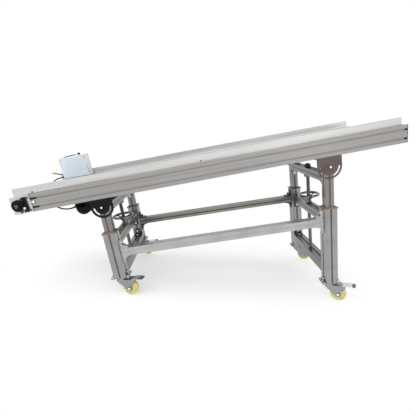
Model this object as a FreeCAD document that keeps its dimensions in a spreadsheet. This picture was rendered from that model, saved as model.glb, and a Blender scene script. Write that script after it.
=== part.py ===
import FreeCAD, Part
import Sketcher
import math
import os

V = FreeCAD.Vector

# Belt conveyor on a wheeled stand. Lengths in millimetres, angles in degrees.
# The stand's own frame: X along the side beams towards the high end, Y across with the
# near side at -Y, Z up along the posts, zero at the top of the low end's lower posts.
# The stand leans, because its two pairs of legs differ in length; see leanAngle below.

# columns: name, size
sizeTable = [
    ("legSpacing", 1066), ("trackWidth", 480),
    ("sleeveSize", 60), ("sleeveBore", 41), ("sleeveGroove", 8), ("sleeveGrooveDepth", 5),
    ("lowSleeveLength", 234), ("highSleeveLength", 405), ("highSleeveTop", -38),
    ("postSize", 40), ("slotMouth", 8), ("slotLip", 3), ("slotWidth", 15), ("slotDepth", 9),
    ("postFit", 0.1), ("lowPostInsertion", 200), ("highPostInsertion", 330),
    ("collarSize", 68), ("collarThickness", 5), ("collarRing", 50), ("collarRingHeight", 3),
    ("beamHeight", -105), ("midBarSize", 45), ("midBarDrop", 37.5), ("bottomBarWidth", 60),
    ("bottomBarHeight", 45), ("highBottomBarLift", 46),
    ("gussetLeg", 40), ("gussetWidth", 30), ("gussetWall", 4), ("gussetSide", 5),
    ("screwDiameter", 20), ("screwClearance", 0.1), ("screwBore", 24), ("screwFoot", 7),
    ("screwNutDiameter", 34), ("screwNutHeight", 16), ("screwFlangeDiameter", 42), ("screwFlangeHeight", 14),
    ("wheelRimDiameter", 120), ("wheelRimTube", 14), ("wheelRimHeight", 47), ("wheelHubDiameter", 34),
    ("wheelDiscDiameter", 62), ("wheelDiscHeight", 30), ("wheelDiscThickness", 5), ("wheelSpokeDiameter", 10),
    ("seat", 0.3),
    ("railSize", 40), ("railHeight", 80), ("railMidHeight", 211.7), ("railRise", 2.06),
    ("railLowEnd", -335), ("railHighEnd", 1423),
    ("guardLowEnd", -394), ("guardHighEnd", 1413), ("guardHeight", 35), ("guardThickness", 3),
    ("guardFoot", 16), ("guardInset", 23),
    ("lowPivotDrop", 37.7), ("highPivotDrop", 45.5), ("lowBracketRadius", 52), ("highBracketRadius", 57),
    ("lowSlotRadius", 38), ("highSlotRadius", 45), ("arcSlotWidth", 9),
    ("pivotBoltDiameter", 10), ("pivotHeadDiameter", 17), ("pivotHeadHeight", 6),
    ("postAbovePivot", 20), ("bracketThickness", 5), ("bracketFoot", 32),
    ("lowTopBarDrop", 16), ("highTopBarDrop", 52.2),
    ("drumDiameter", 72), ("drumInset", 2), ("drumShaft", 20), ("lowDrumPlace", -366),
    ("highDrumPlace", 1383), ("beltThickness", 2), ("beltGap", 6),
    ("bedWall", 2), ("bedEdge", 22), ("bedInset", 4), ("bedEndGap", 12),
    ("tieHeight", 20), ("tieLength", 40), ("tieInset", 60), ("railCapThickness", 3),
    ("endPlateLow", -400), ("endPlateHigh", -326), ("endPlateThickness", 6), ("endPlateLip", 14),
    ("clampPlateHigh", -310), ("bearingDiameter", 54), ("bearingThickness", 14), ("bearingCapDiameter", 30),
    ("bearingCapHeight", 6), ("bearingBoreGap", 1), ("takeUpLow", -345), ("takeUpHigh", -327),
    ("takeUpHeight", 68), ("takeUpThickness", 9),
    ("motorPlace", -121), ("motorDiameter", 68), ("motorNearEnd", -200),
    ("motorLength", 130), ("gearboxLength", 80), ("gearboxSize", 66), ("motorShaft", 14),
    ("mountPlateThickness", 3), ("mountPlateLength", 80), ("coverDepth", 34), ("coverWall", 2),
    ("coverDiameter", 92),
    ("boxWidth", 160), ("boxHeight", 126), ("boxDepth", 58), ("boxPlace", -274),
    ("leadSeat", 1.2), ("motorExit", 12), ("powerExit", 28), ("exitSetback", 30),
    ("boxCorner", 4), ("knobDiameter", 17), ("knobHeight", 13), ("knobPlace", 38),
    ("casterHeight", 108), ("casterTrail", 40), ("casterWheelDiameter", 80), ("casterWheelWidth", 28),
    ("wheelDish", 4), ("casterPlateLength", 92), ("casterPlateWidth", 62), ("casterPlateThickness", 4),
    ("casterEar", 18), ("casterEarHeight", 24), ("raceDiameter", 46), ("raceHeight", 14),
    ("forkInnerWidth", 33), ("forkWall", 3), ("forkTail", 36), ("forkLip", 8), ("axleBoss", 14),
    ("axleDiameter", 10), ("axleFit", 0.1), ("hubDiameter", 26),
    ("pedalLength", 82), ("pedalWidth", 40), ("pedalThickness", 3), ("pedalSeat", 14),
    ("lowSwivel", -17), ("highSwivel", -30),
    ("leadDiameter", 7), ("connectorDiameter", 18), ("connectorLength", 26), ("connectorTilt", 25),
    ("connectorGrip", 13), ("prongRing", 5), ("prongDiameter", 4), ("prongLength", 12),
    ("glandDiameter", 13), ("glandLength", 9),
]

# Routes of the two leads in the deck's frame, after the straight run out of their glands.
# columns: along the rails, across, square to the rails
motorRoute = [
    (-396, 207, 54.5), (-429, 217, 48), (-458, 232, 33), (-471, 245, 7), (-467, 251, -20),
    (-446, 252, -43), (-416, 252, -51.5), (-385, 246, -52), (-361, 222, -56), (-352, 180, -61),
    (-349, 128, -65), (-347, 74, -66), (-345, 20, -65), (-340, -34, -60), (-327, -72, -54),
    (-310, -99, -53), (-289, -119, -59), (-265, -134, -69), (-237, -145, -77), (-208, -152, -79),
    (-183, -157, -75), (-164, -160, -68),
]
powerRoute = [(-380, 205.5, 73), (-395, 205, 79), (-408.5, 204.6, 85.3)]

doc = FreeCAD.newDocument("belt_conveyor")
sheet = doc.addObject("Spreadsheet::Sheet", "sizes")
for row, (name, number) in enumerate(sizeTable, 1):
    sheet.set("A%d" % row, name)
    sheet.set("B%d" % row, str(number))
    sheet.setAlias("B%d" % row, name)
doc.recompute()


class Size:
    """A length that knows both its number and the sheet formula it comes from."""

    def __init__(self, number, formula):
        self.number = float(number)
        self.formula = formula

    def __add__(self, other):
        other = size(other)
        return Size(self.number + other.number, "(%s + %s)" % (self.formula, other.formula))

    def __sub__(self, other):
        other = size(other)
        return Size(self.number - other.number, "(%s - %s)" % (self.formula, other.formula))

    def __mul__(self, other):
        other = size(other)
        return Size(self.number * other.number, "(%s * %s)" % (self.formula, other.formula))

    def __truediv__(self, other):
        other = size(other)
        return Size(self.number / other.number, "(%s / %s)" % (self.formula, other.formula))

    def __neg__(self):
        return Size(-self.number, "(0 - %s)" % self.formula)

    def __radd__(self, other):
        return size(other) + self

    def __rsub__(self, other):
        return size(other) - self

    def __rmul__(self, other):
        return size(other) * self


def size(thing):
    """A Size from a Size or from a plain number."""
    if isinstance(thing, Size):
        return thing
    return Size(thing, "(0 - %r)" % -thing if thing < 0 else repr(thing))


class Sizes:
    """The sheet's cells by name."""


s = Sizes()
for name, number in sizeTable:
    setattr(s, name, Size(sheet.get(name), "sizes." + name))


def bind(thing, **properties):
    """Ties properties of an object to the sheet."""
    for name, value in properties.items():
        thing.setExpression(name, size(value).formula)
    return thing


def placeAt(thing, corner, turn=None):
    """Puts an object's own origin at a place whose three coordinates are tied to the sheet."""
    if turn is not None:
        thing.Placement = FreeCAD.Placement(V(0, 0, 0), turn)
    for axis, value in zip("xyz", corner):
        thing.setExpression("Placement.Base." + axis, size(value).formula)
    return thing


def new(kind, name):
    return doc.addObject(kind, name)


def box(name, corner, extent):
    """A block from its lowest corner and its three lengths."""
    length, width, height = extent
    return placeAt(bind(new("Part::Box", name), Length=length, Width=width, Height=height), corner)


alongX = FreeCAD.Rotation(V(0, 1, 0), 90)
alongY = FreeCAD.Rotation(V(1, 0, 0), -90)
alongZ = FreeCAD.Rotation()


def rod(name, start, diameter, length, turn=alongZ):
    """A round bar from the middle of its first face."""
    bar = bind(new("Part::Cylinder", name), Radius=size(diameter) / 2, Height=length)
    return placeAt(bar, start, turn)


def cone(name, start, foot, top, height, turn=alongZ):
    """A tapered round piece from the middle of its foot."""
    piece = bind(new("Part::Cone", name), Radius1=size(foot) / 2, Radius2=size(top) / 2, Height=height)
    return placeAt(piece, start, turn)


def cut(name, base, *tools):
    result = new("Part::Cut", name)
    result.Base = base
    result.Tool = tools[0] if len(tools) == 1 else fuse(name + "Tools", *tools)
    return result


def fuse(name, *pieces):
    result = new("Part::MultiFuse", name)
    result.Shapes = list(pieces)
    return result


def common(name, *pieces):
    result = new("Part::MultiCommon", name)
    result.Shapes = list(pieces)
    return result


def mirrored(piece):
    """The same piece on the far side, across the middle plane."""
    twin = new("Part::Mirroring", piece.Name + "Far")
    twin.Source = piece
    twin.Normal = V(0, 1, 0)
    return twin


def pair(piece):
    return [piece, mirrored(piece)]


def originPlane(body, role):
    return [feature for feature in body.Origin.OriginFeatures if feature.Role == role][0]


def outline(body, name, plane, corners):
    """A closed sketch on one of the body's own planes, every corner tied to the sheet."""
    sketch = body.newObject("Sketcher::SketchObject", name)
    sketch.AttachmentSupport = [(originPlane(body, plane), "")]
    sketch.MapMode = "FlatFace"
    points = [V(size(x).number, size(y).number, 0) for x, y in corners]
    count = len(points)
    for index, point in enumerate(points):
        sketch.addGeometry(Part.LineSegment(point, points[(index + 1) % count]))
    for index in range(count):
        sketch.addConstraint(Sketcher.Constraint("Coincident", index, 2, (index + 1) % count, 1))
    for index, corner in enumerate(corners):
        for kind, value in zip(("DistanceX", "DistanceY"), corner):
            datum = Sketcher.Constraint(kind, -1, 1, index, 1, size(value).number)
            number = sketch.addConstraint(datum)
            sketch.setExpression("Constraints[%d]" % number, size(value).formula)
    return sketch


def rectangle(width, height):
    x = width / 2
    y = height / 2
    return [(-x, -y), (x, -y), (x, y), (-x, y)]


def slotOutline(edge, middle=size(0)):
    """A T slot cut from the edge at +Y of a section, its middle line at x = middle."""
    inner = s.slotMouth / 2
    wide = s.slotWidth / 2
    return [
        (middle - inner, edge + 1), (middle - inner, edge - s.slotLip), (middle - wide, edge - s.slotLip),
        (middle - wide, edge - s.slotLip - 2), (middle - inner, edge - s.slotDepth),
        (middle + inner, edge - s.slotDepth), (middle + wide, edge - s.slotLip - 2),
        (middle + wide, edge - s.slotLip), (middle + inner, edge - s.slotLip), (middle + inner, edge + 1),
    ]


def newBody(name):
    return doc.addObject("PartDesign::Body", name)


def pad(body, sketch, length, symmetric=False):
    feature = body.newObject("PartDesign::Pad", sketch.Name + "Pad")
    feature.Profile = sketch
    feature.Midplane = symmetric
    return bind(feature, Length=length)


def pocketThrough(body, sketch):
    feature = body.newObject("PartDesign::Pocket", sketch.Name + "Pocket")
    feature.Profile = sketch
    feature.Type = "ThroughAll"
    feature.Midplane = True
    return feature


def aroundAxis(body, feature, count):
    """Repeats a feature evenly about the body's Z axis."""
    pattern = body.newObject("PartDesign::PolarPattern", feature.Name + "Around")
    pattern.Originals = [feature]
    pattern.Axis = (originPlane(body, "Z_Axis"), [""])
    pattern.Angle = 360
    pattern.Occurrences = count
    body.Tip = pattern
    return pattern


def acrossPlane(body, features, role):
    """Repeats features on the other side of one of the body's planes."""
    mirror = body.newObject("PartDesign::Mirrored", features[0].Name + "Across")
    mirror.Originals = features
    mirror.MirrorPlane = (originPlane(body, role), [""])
    body.Tip = mirror
    return mirror


def slottedPost(name, length, section):
    """A square bar along its own Z with a T slot down each face."""
    body = newBody(name)
    pad(body, outline(body, name + "Section", "XY_Plane", rectangle(section, section)), length)
    slot = pocketThrough(body, outline(body, name + "Slot", "XY_Plane", slotOutline(section / 2)))
    aroundAxis(body, slot, 4)
    return body


def flatBar(name, length, width, height):
    """An oblong bar along its own Z with one T slot down each of its two wide faces."""
    body = newBody(name)
    pad(body, outline(body, name + "Section", "XY_Plane", rectangle(width, height)), length)
    slot = pocketThrough(body, outline(body, name + "Slot", "XY_Plane", slotOutline(height / 2)))
    acrossPlane(body, [slot], "XZ_Plane")
    return body


def slottedRail(name, length):
    """The side rail: two T slots on each flank, one along the top and one along the bottom."""
    body = newBody(name)
    pad(body, outline(body, name + "Section", "XY_Plane", rectangle(s.railHeight, s.railSize)), length)
    flanks = [
        pocketThrough(body, outline(body, name + "Flank%d" % index, "XY_Plane",
                                    slotOutline(s.railSize / 2, sign * s.railHeight / 4)))
        for index, sign in enumerate((-1, 1))
    ]
    acrossPlane(body, flanks, "XZ_Plane")
    edge = [(y, -x) for x, y in slotOutline(s.railHeight / 2)]
    top = pocketThrough(body, outline(body, name + "Top", "XY_Plane", edge))
    acrossPlane(body, [top], "YZ_Plane")
    return body


nodes = []


def node(label, frame, *solids):
    """One named sub-part made of solids that don't touch, in one of the frames."""
    group = new("Part::Compound", label)
    group.Label = label
    group.Links = list(solids)
    nodes.append((group, frame))
    return group


halfTrack = s.trackWidth / 2
halfSleeve = s.sleeveSize / 2
halfPost = s.postSize / 2
# columns: leg name, place along the beams, top and length of its lower posts, drop of its upper crossbar
# below the pivot, length of upper post inside the lower one, lift of its lower crossbar, swivel of its casters
legs = [
    ("low", size(0), size(0), s.lowSleeveLength, s.lowTopBarDrop, s.lowPostInsertion, size(0), s.lowSwivel),
    ("high", s.legSpacing, s.highSleeveTop, s.highSleeveLength, s.highTopBarDrop, s.highPostInsertion,
     s.highBottomBarLift, s.highSwivel),
]
# columns: drop of the pivot below the rail, radius of the tilting bracket and of its curved slot
tilting = {"low": (s.lowPivotDrop, s.lowBracketRadius, s.lowSlotRadius),
           "high": (s.highPivotDrop, s.highBracketRadius, s.highSlotRadius)}
riseSlope = math.tan(math.radians(s.railRise.number))
riseCosine = math.cos(math.radians(s.railRise.number))
riseSine = math.sin(math.radians(s.railRise.number))


def lowerPost(leg, place, top, length):
    """A square sleeve with a groove down each face; the upper post slides inside it."""
    name = leg + "Sleeve"
    body = newBody(name)
    pad(body, outline(body, name + "Section", "XY_Plane", rectangle(s.sleeveSize, s.sleeveSize)), length)
    pocketThrough(body, outline(body, name + "Bore", "XY_Plane", rectangle(s.sleeveBore, s.sleeveBore)))
    half = s.sleeveGroove / 2
    groove = [(-half, halfSleeve + 1), (-half, halfSleeve - s.sleeveGrooveDepth),
              (half, halfSleeve - s.sleeveGrooveDepth), (half, halfSleeve + 1)]
    aroundAxis(body, pocketThrough(body, outline(body, name + "Groove", "XY_Plane", groove)), 4)
    return placeAt(body, (place, -halfTrack, top - length))


def collar(leg, place, top):
    """The plastic guide on top of a sleeve: a plate and a raised ring round the upper post."""
    bore = s.postSize + 2 * s.postFit
    y = -halfTrack

    def slab(name, width, bottom, height):
        return box(name, (place - width / 2, y - width / 2, bottom), (width, width, height))

    solid = fuse(leg + "CollarSolid", slab(leg + "CollarPlate", s.collarSize, top, s.collarThickness),
                 slab(leg + "CollarRing", s.collarRing, top, s.collarThickness + s.collarRingHeight))
    hole = slab(leg + "CollarBore", bore, top - 1, s.collarThickness + s.collarRingHeight + 2)
    return cut(leg + "Collar", solid, hole)


def gusset(name, corner, turn):
    """A cast corner bracket: two foot plates between two side walls with a hollow curved edge."""
    leg = s.gussetLeg
    wall = s.gussetWall
    curve = []
    for angle in (18, 36, 54, 72):
        turned = math.radians(angle)
        curve.append((leg - (leg - wall) * math.sin(turned), leg - (leg - wall) * math.cos(turned)))
    body = newBody(name)
    shape = [(0, 0), (leg, 0), (leg, wall)] + curve + [(wall, leg), (0, leg)]
    pad(body, outline(body, name + "Side", "XZ_Plane", shape), s.gussetWidth, symmetric=True)
    hollow = [(wall, wall), (leg + 1, wall), (leg + 1, leg + 1), (wall, leg + 1)]
    pocket = body.newObject("PartDesign::Pocket", name + "Pocket")
    pocket.Profile = outline(body, name + "Hollow", "XZ_Plane", hollow)
    pocket.Midplane = True
    bind(pocket, Length=s.gussetWidth - 2 * s.gussetSide)
    return placeAt(body, corner, turn)


def squareBar(name, start, length, section, turn, bore=None):
    bar = placeAt(slottedPost(name, length, section), start, turn)
    if bore is None:
        return bar
    return cut(name + "Bored", bar, *bore)


beamLength = s.legSpacing - s.sleeveSize
crossbarLength = s.trackWidth - s.sleeveSize
topBarLength = s.trackWidth - s.postSize

sleeves = []
collars = []
midBars = []
bottomBars = []
for leg, place, top, length, barDrop, insertion, lift, swivel in legs:
    sleeve = lowerPost(leg, place, top, length)
    node(leg + "_lower_posts", "stand", *pair(sleeve))
    collars += pair(collar(leg, place, top))
    middle = top - s.midBarDrop - s.midBarSize / 2
    start = (place, -crossbarLength / 2, middle)
    hole = rod(leg + "MidBore", (place, 0, middle - s.midBarSize), s.screwBore, s.midBarSize * 2)
    midBars.append(squareBar(leg + "MidBar", start, crossbarLength, s.midBarSize, alongY, [hole]))
    low = top - length + lift + s.bottomBarHeight / 2
    bottomBar = flatBar(leg + "BottomBar", crossbarLength, s.bottomBarWidth, s.bottomBarHeight)
    bottomBars.append(placeAt(bottomBar, (place, -crossbarLength / 2, low), alongY))
node("post_collars", "stand", *collars)
node("mid_crossbars", "stand", *midBars)
node("bottom_crossbars", "stand", *bottomBars)
beam = squareBar("sideBeam", (halfSleeve, -halfTrack, s.beamHeight), beamLength, s.postSize, alongX)
node("side_beams", "stand", *pair(beam))

# gussets in the corners between beams and lower posts
beamGussets = []
corners = [("lowOver", halfSleeve, 1, 0), ("lowUnder", halfSleeve, -1, 90),
           ("highOver", s.legSpacing - halfSleeve, 1, -90), ("highUnder", s.legSpacing - halfSleeve, -1, 180)]
for name, x, sign, angle in corners:
    turn = FreeCAD.Rotation(V(0, 1, 0), angle)
    corner = (x, -halfTrack, s.beamHeight + sign * halfPost)
    beamGussets += pair(gusset(name + "BeamGusset", corner, turn))
node("beam_gussets", "stand", *beamGussets)


def barGusset(name, place, height, inner, over):
    """A gusset between a crossbar and the inner face of a post, on the near side."""
    quarter = FreeCAD.Rotation(V(0, 0, 1), 90)
    turn = quarter if over else quarter.multiply(FreeCAD.Rotation(V(0, 1, 0), 90))
    return gusset(name, (place, -inner, height), turn)


# gussets in the corners between crossbars and lower posts
barGussets = []
for leg, place, top, length, barDrop, insertion, lift, swivel in legs:
    inner = halfTrack - halfSleeve
    under = top - s.midBarDrop - s.midBarSize
    barGussets += pair(barGusset(leg + "MidGusset", place, under, inner, False))
    over = top - length + lift + s.bottomBarHeight
    barGussets += pair(barGusset(leg + "BottomGusset", place, over, inner, True))
node("crossbar_gussets", "stand", *barGussets)

# caster plates under the lower posts, each held by an angle on either side of its post
plates = []
ears = []
for leg, place, top, length, barDrop, insertion, lift, swivel in legs:
    foot = top - length
    corner = (place - s.casterPlateLength / 2, -halfTrack - s.casterPlateWidth / 2,
              foot - s.casterPlateThickness)
    extent = (s.casterPlateLength, s.casterPlateWidth, s.casterPlateThickness)
    plates += pair(box(leg + "CasterPlate", corner, extent))
    depth = s.casterPlateLength / 2 - halfSleeve
    for side, start in (("Left", place - halfSleeve - depth), ("Right", place + halfSleeve)):
        wall = s.casterPlateThickness
        y = -halfTrack - s.casterEar / 2
        tall = start + depth - wall if side == "Left" else start
        ear = fuse(leg + side + "Ear",
                   box(leg + side + "EarFoot", (start, y, foot), (depth, s.casterEar, wall)),
                   box(leg + side + "EarWall", (tall, y, foot), (wall, s.casterEar, s.casterEarHeight)))
        ears += pair(ear)
node("caster_plates", "stand", *plates)
node("caster_angles", "stand", *ears)


def lowHeight(x):
    """Height of the rails' middle line above a place along the stand."""
    return s.railMidHeight + x * riseSlope


def upperPosts(leg, place, foot, pivot):
    """The sliding post, drilled across at the pivot."""
    length = pivot + s.postAbovePivot - foot
    post = squareBar(leg + "UpperPost", (place, -halfTrack, foot), length, s.postSize, alongZ)
    hole = rod(leg + "PivotBore", (place, -halfTrack - s.postSize, pivot), s.pivotBoltDiameter,
               s.postSize + halfPost, alongY)
    return cut(leg + "DrilledPost", post, hole)


def pivotBolt(leg, place, pivot):
    """The bolt that the tilting bracket turns on, screwed into the post's outer slot."""
    outer = -halfTrack - halfPost
    shank = rod(leg + "PivotShank", (place, outer - s.seat - s.bracketThickness, pivot),
                s.pivotBoltDiameter, s.bracketThickness + s.seat + halfPost, alongY)
    head = rod(leg + "PivotHead", (place, outer - 2 * s.seat - s.bracketThickness - s.pivotHeadHeight, pivot),
               s.pivotHeadDiameter, s.pivotHeadHeight, alongY)
    neck = rod(leg + "PivotNeck", (place, outer - 2 * s.seat - s.bracketThickness, pivot),
               s.pivotBoltDiameter, s.seat * 2, alongY)
    return fuse(leg + "PivotBolt", shank, head, neck)


def liftScrew(leg, place, barTop, foot):
    """The lifting screw, held in the upper crossbar by a flange below and a nut above."""
    start = foot
    top = barTop + s.screwNutHeight + 4
    shaft = rod(leg + "Screw", (place, 0, start), s.screwDiameter, top - start)
    nut = rod(leg + "ScrewNut", (place, 0, barTop), s.screwNutDiameter, s.screwNutHeight)
    flange = rod(leg + "ScrewFlange", (place, 0, barTop - s.postSize - s.screwFlangeHeight),
                 s.screwFlangeDiameter, s.screwFlangeHeight)
    return fuse(leg + "LiftScrew", shaft, nut, flange)


def handwheel(leg, place, barTop):
    """A dished wheel: a round rim on three spokes, a disc and a threaded hub that turns on the crossbar."""
    hub = barTop + s.seat
    rimHeight = hub + s.wheelRimHeight
    reach = (s.wheelRimDiameter - s.wheelRimTube) / 2
    rim = new("Part::Torus", leg + "Rim")
    bind(rim, Radius1=reach, Radius2=s.wheelRimTube / 2)
    placeAt(rim, (place, 0, rimHeight))
    boss = rod(leg + "HubBoss", (place, 0, hub), s.wheelHubDiameter, s.wheelDiscHeight + s.wheelDiscThickness)
    disc = cone(leg + "HubDisc", (place, 0, hub + s.wheelDiscHeight), s.wheelHubDiameter, s.wheelDiscDiameter,
                s.wheelDiscThickness)
    dish = s.wheelRimHeight - s.wheelDiscHeight
    slope = math.degrees(math.atan2(dish.number, reach.number))
    spokes = []
    for turn in (30, 150, 270):
        facing = FreeCAD.Rotation(V(0, 0, 1), turn).multiply(FreeCAD.Rotation(V(0, 1, 0), 90 - slope))
        spokes.append(rod(leg + "Spoke%d" % turn, (place, 0, hub + s.wheelDiscHeight), s.wheelSpokeDiameter,
                          math.hypot(dish.number, reach.number), facing))
    solid = fuse(leg + "WheelSolid", rim, disc, boss, *spokes)
    bore = rod(leg + "WheelBore", (place, 0, barTop - 5), s.screwDiameter + 2 * s.screwClearance,
               s.wheelRimHeight * 2)
    return cut(leg + "Wheel", solid, bore)


pivots = {}
for leg, place, top, length, barDrop, insertion, lift, swivel in legs:
    pivot = lowHeight(place) - (s.railHeight / 2 + tilting[leg][0]) / riseCosine
    pivots[leg] = pivot
    node(leg + "_upper_posts", leg + "Lift", *pair(upperPosts(leg, place, top - insertion, pivot)))
    barMiddle = pivot - barDrop
    hole = rod(leg + "TopBore", (place, 0, barMiddle - s.postSize), s.screwDiameter, s.postSize * 2)
    start = (place, -topBarLength / 2, barMiddle)
    bar = squareBar(leg + "TopBar", start, topBarLength, s.postSize, alongY, [hole])
    node(leg + "_top_crossbar", leg + "Lift", bar)
    under = barMiddle - halfPost
    node(leg + "_top_gussets", leg + "Lift",
         *pair(barGusset(leg + "TopGusset", place, under, halfTrack - halfPost, False)))
    foot = top - length + lift + s.bottomBarHeight + s.screwFoot
    node(leg + "_lift_screw", leg + "Lift", liftScrew(leg, place, barMiddle + halfPost, foot))
    node(leg + "_pivot_bolts", leg + "Lift", *pair(pivotBolt(leg, place, pivot)))
    node(leg + "_handwheel", leg + "Wheel", handwheel(leg, place, top - s.midBarDrop))

# The deck's own frame: X along the rails, zero above the low posts, Z square to the rails from their middle.
halfRail = s.railSize / 2
halfRailHeight = s.railHeight / 2
railLength = s.railHighEnd - s.railLowEnd
flat = FreeCAD.Rotation(V(0, 0, 1), 90)
rail = placeAt(slottedRail("sideRail", railLength), (s.railLowEnd, -halfTrack, 0),
               FreeCAD.Rotation(V(0, 1, 0), 90))
node("side_rails", "deck", *pair(rail))
railCap = box("railCap", (s.railHighEnd, -halfTrack - halfRail, -halfRailHeight),
              (s.railCapThickness, s.railSize, s.railHeight))
node("rail_caps", "deck", *pair(railCap))


def sideGuard():
    """An angle along the top of a rail, its foot turned towards the belt."""
    length = s.guardHighEnd - s.guardLowEnd
    outer = -halfTrack - halfRail + s.guardInset
    wall = box("guardWall", (s.guardLowEnd, outer, halfRailHeight), (length, s.guardThickness, s.guardHeight))
    footLength = s.guardHighEnd - s.railLowEnd
    foot = box("guardFoot", (s.railLowEnd, outer, halfRailHeight), (footLength, s.guardFoot, s.guardThickness))
    return fuse("sideGuard", wall, foot)


node("side_guards", "deck", *pair(sideGuard()))


beltWidth = s.trackWidth - s.railSize - 2 * s.beltGap
drumWidth = beltWidth - 2 * s.drumInset
bedWidth = beltWidth - 2 * s.bedInset


def beltLoop():
    """The belt as one closed band round both drums."""
    outerDiameter = s.drumDiameter + 2 * s.beltThickness

    def loop(name, diameter, width):
        y = -width / 2
        ends = [rod(name + "End%d" % index, (x, y, 0), diameter, width, alongY)
                for index, x in enumerate((s.lowDrumPlace, s.highDrumPlace))]
        middle = box(name + "Middle", (s.lowDrumPlace, y, -diameter / 2),
                     (s.highDrumPlace - s.lowDrumPlace, width, diameter))
        return fuse(name, middle, *ends)

    return cut("beltBand", loop("beltOuter", outerDiameter, beltWidth),
               loop("beltInner", s.drumDiameter, beltWidth + 10))


node("belt", "deck", beltLoop())


def drum(name, place, reach):
    """A drum on a shaft that reaches to its bearings."""
    body = rod(name + "Shell", (place, -drumWidth / 2, 0), s.drumDiameter - 2 * s.seat, drumWidth, alongY)
    shaft = rod(name + "Shaft", (place, -reach, 0), s.drumShaft, reach * 2, alongY)
    return fuse(name, body, shaft)


plateOuter = halfTrack + halfRail + s.endPlateThickness
node("drums", "deck", drum("lowDrum", s.lowDrumPlace, plateOuter + s.bearingThickness),
     drum("highDrum", s.highDrumPlace, halfTrack - halfRail))

bedTop = s.drumDiameter / 2 - s.seat
bedLow = s.lowDrumPlace + s.drumDiameter / 2 + s.bedEndGap
bedHigh = s.highDrumPlace - s.drumDiameter / 2 - s.bedEndGap


def sliderBed():
    """A sheet tray under the carrying belt, its long edges folded down."""
    length = bedHigh - bedLow
    outer = box("bedSheet", (bedLow, -bedWidth / 2, bedTop - s.bedEdge), (length, bedWidth, s.bedEdge))
    inner = box("bedHollow", (bedLow - 1, -bedWidth / 2 + s.bedWall, bedTop - s.bedEdge - 1),
                (length + 2, bedWidth - 2 * s.bedWall, s.bedEdge - s.bedWall + 1))
    return cut("sliderBed", outer, inner)


node("slider_bed", "deck", sliderBed())

ties = []
tieCount = 4
for index in range(tieCount):
    x = bedLow + s.tieInset + (bedHigh - bedLow - 2 * s.tieInset - s.tieLength) * (index / (tieCount - 1))
    across = s.trackWidth - s.railSize
    ties.append(box("tie%d" % index, (x, -across / 2, bedTop - s.bedEdge - s.tieHeight),
                    (s.tieLength, across, s.tieHeight)))
node("cross_ties", "deck", *ties)


def endPlate():
    """The side plate at the low end: a lipped plate that carries the drum bearing."""
    face = -plateOuter
    plate = box("endPlateWall", (s.endPlateLow, face, -halfRailHeight),
                (s.endPlateHigh - s.endPlateLow, s.endPlateThickness, s.railHeight))
    lip = box("endPlateLip", (s.endPlateLow, face, halfRailHeight - s.endPlateThickness / 2),
              (s.railLowEnd - s.endPlateLow, s.endPlateThickness + halfRail, s.endPlateThickness / 2))
    web = box("endPlateWeb", (s.endPlateLow, -halfTrack - halfRail, -halfRailHeight),
              (s.railLowEnd - s.endPlateLow, s.endPlateLip, s.endPlateThickness))
    bore = rod("endPlateBore", (s.lowDrumPlace, face - 1, 0), s.drumShaft + 2 * s.bearingBoreGap,
               s.railSize, alongY)
    return cut("endPlate", fuse("endPlateSolid", plate, lip, web), bore)


node("end_plates", "deck", *pair(endPlate()))
clamp = box("clampStrip", (s.endPlateHigh, -plateOuter, -halfRailHeight),
            (s.clampPlateHigh - s.endPlateHigh, s.endPlateThickness, s.railHeight))
node("clamp_strips", "deck", *pair(clamp))


def bearing():
    """A round flange bearing with a cap and its take-up block, outside the end plate."""
    face = -plateOuter
    start = face - s.bearingThickness
    flange = rod("bearingFlange", (s.lowDrumPlace, start, 0), s.bearingDiameter, s.bearingThickness, alongY)
    block = box("takeUpBlock", (s.takeUpLow, face - s.takeUpThickness, -s.takeUpHeight / 2),
                (s.takeUpHigh - s.takeUpLow, s.takeUpThickness, s.takeUpHeight))
    cap = rod("bearingCap", (s.lowDrumPlace, start - s.bearingCapHeight, 0), s.bearingCapDiameter,
              s.bearingCapHeight, alongY)
    bore = rod("bearingBore", (s.lowDrumPlace, start, 0), s.drumShaft + 2 * s.axleFit,
               s.bearingThickness + 1, alongY)
    return cut("bearing", fuse("bearingSolid", flange, block, cap), bore)


node("drum_bearings", "deck", *pair(bearing()))


def tube(name, route, diameter):
    """A round lead along a route: straight runs joined by tangent arcs as large as the runs allow."""
    points = [V(*point) for point in route]
    edges = []
    start = points[0]
    radii = []
    for before, corner, after in zip(points, points[1:], points[2:]):
        back = (before - corner)
        on = (after - corner)
        shorter = min(back.Length, on.Length)
        turn = math.pi - back.getAngle(on)
        reach = 0.45 * shorter
        radii.append(reach / math.tan(turn / 2))
        first = corner + back.normalize() * reach
        last = corner + on.normalize() * reach
        middle = corner + (back + on).normalize() * (radii[-1] / math.cos(turn / 2) - radii[-1])
        edges.append(Part.LineSegment(start, first).toShape())
        edges.append(Part.Arc(first, middle, last).toShape())
        start = last
    edges.append(Part.LineSegment(start, points[-1]).toShape())
    path = Part.Wire(edges)
    ring = Part.Wire(Part.Circle(points[0], points[1] - points[0], diameter.number / 2).toShape())
    lead = new("Part::Feature", name)
    lead.Shape = path.makePipeShell([ring], True, False)
    expected = math.pi * (diameter.number / 2) ** 2 * path.Length
    print(name, "length", round(path.Length), "least radius", round(min(radii)),
          "volume share", round(lead.Shape.Volume / expected, 4))
    return lead


boxBack = halfTrack + halfRail - s.guardInset - s.guardThickness - s.seat
boxFoot = halfRailHeight + s.guardThickness + s.seat
boxInDeck = FreeCAD.Placement(V(s.boxPlace.number, (boxBack - s.boxDepth).number, boxFoot.number),
                              FreeCAD.Rotation())


def exitAt(height, run):
    """A place on a lead's straight run out of the box, in the deck's frame."""
    x = -s.boxWidth / 2 - s.glandLength - run
    return tuple(boxInDeck.multVec(V(x.number, s.exitSetback.number, height.number)))


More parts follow.
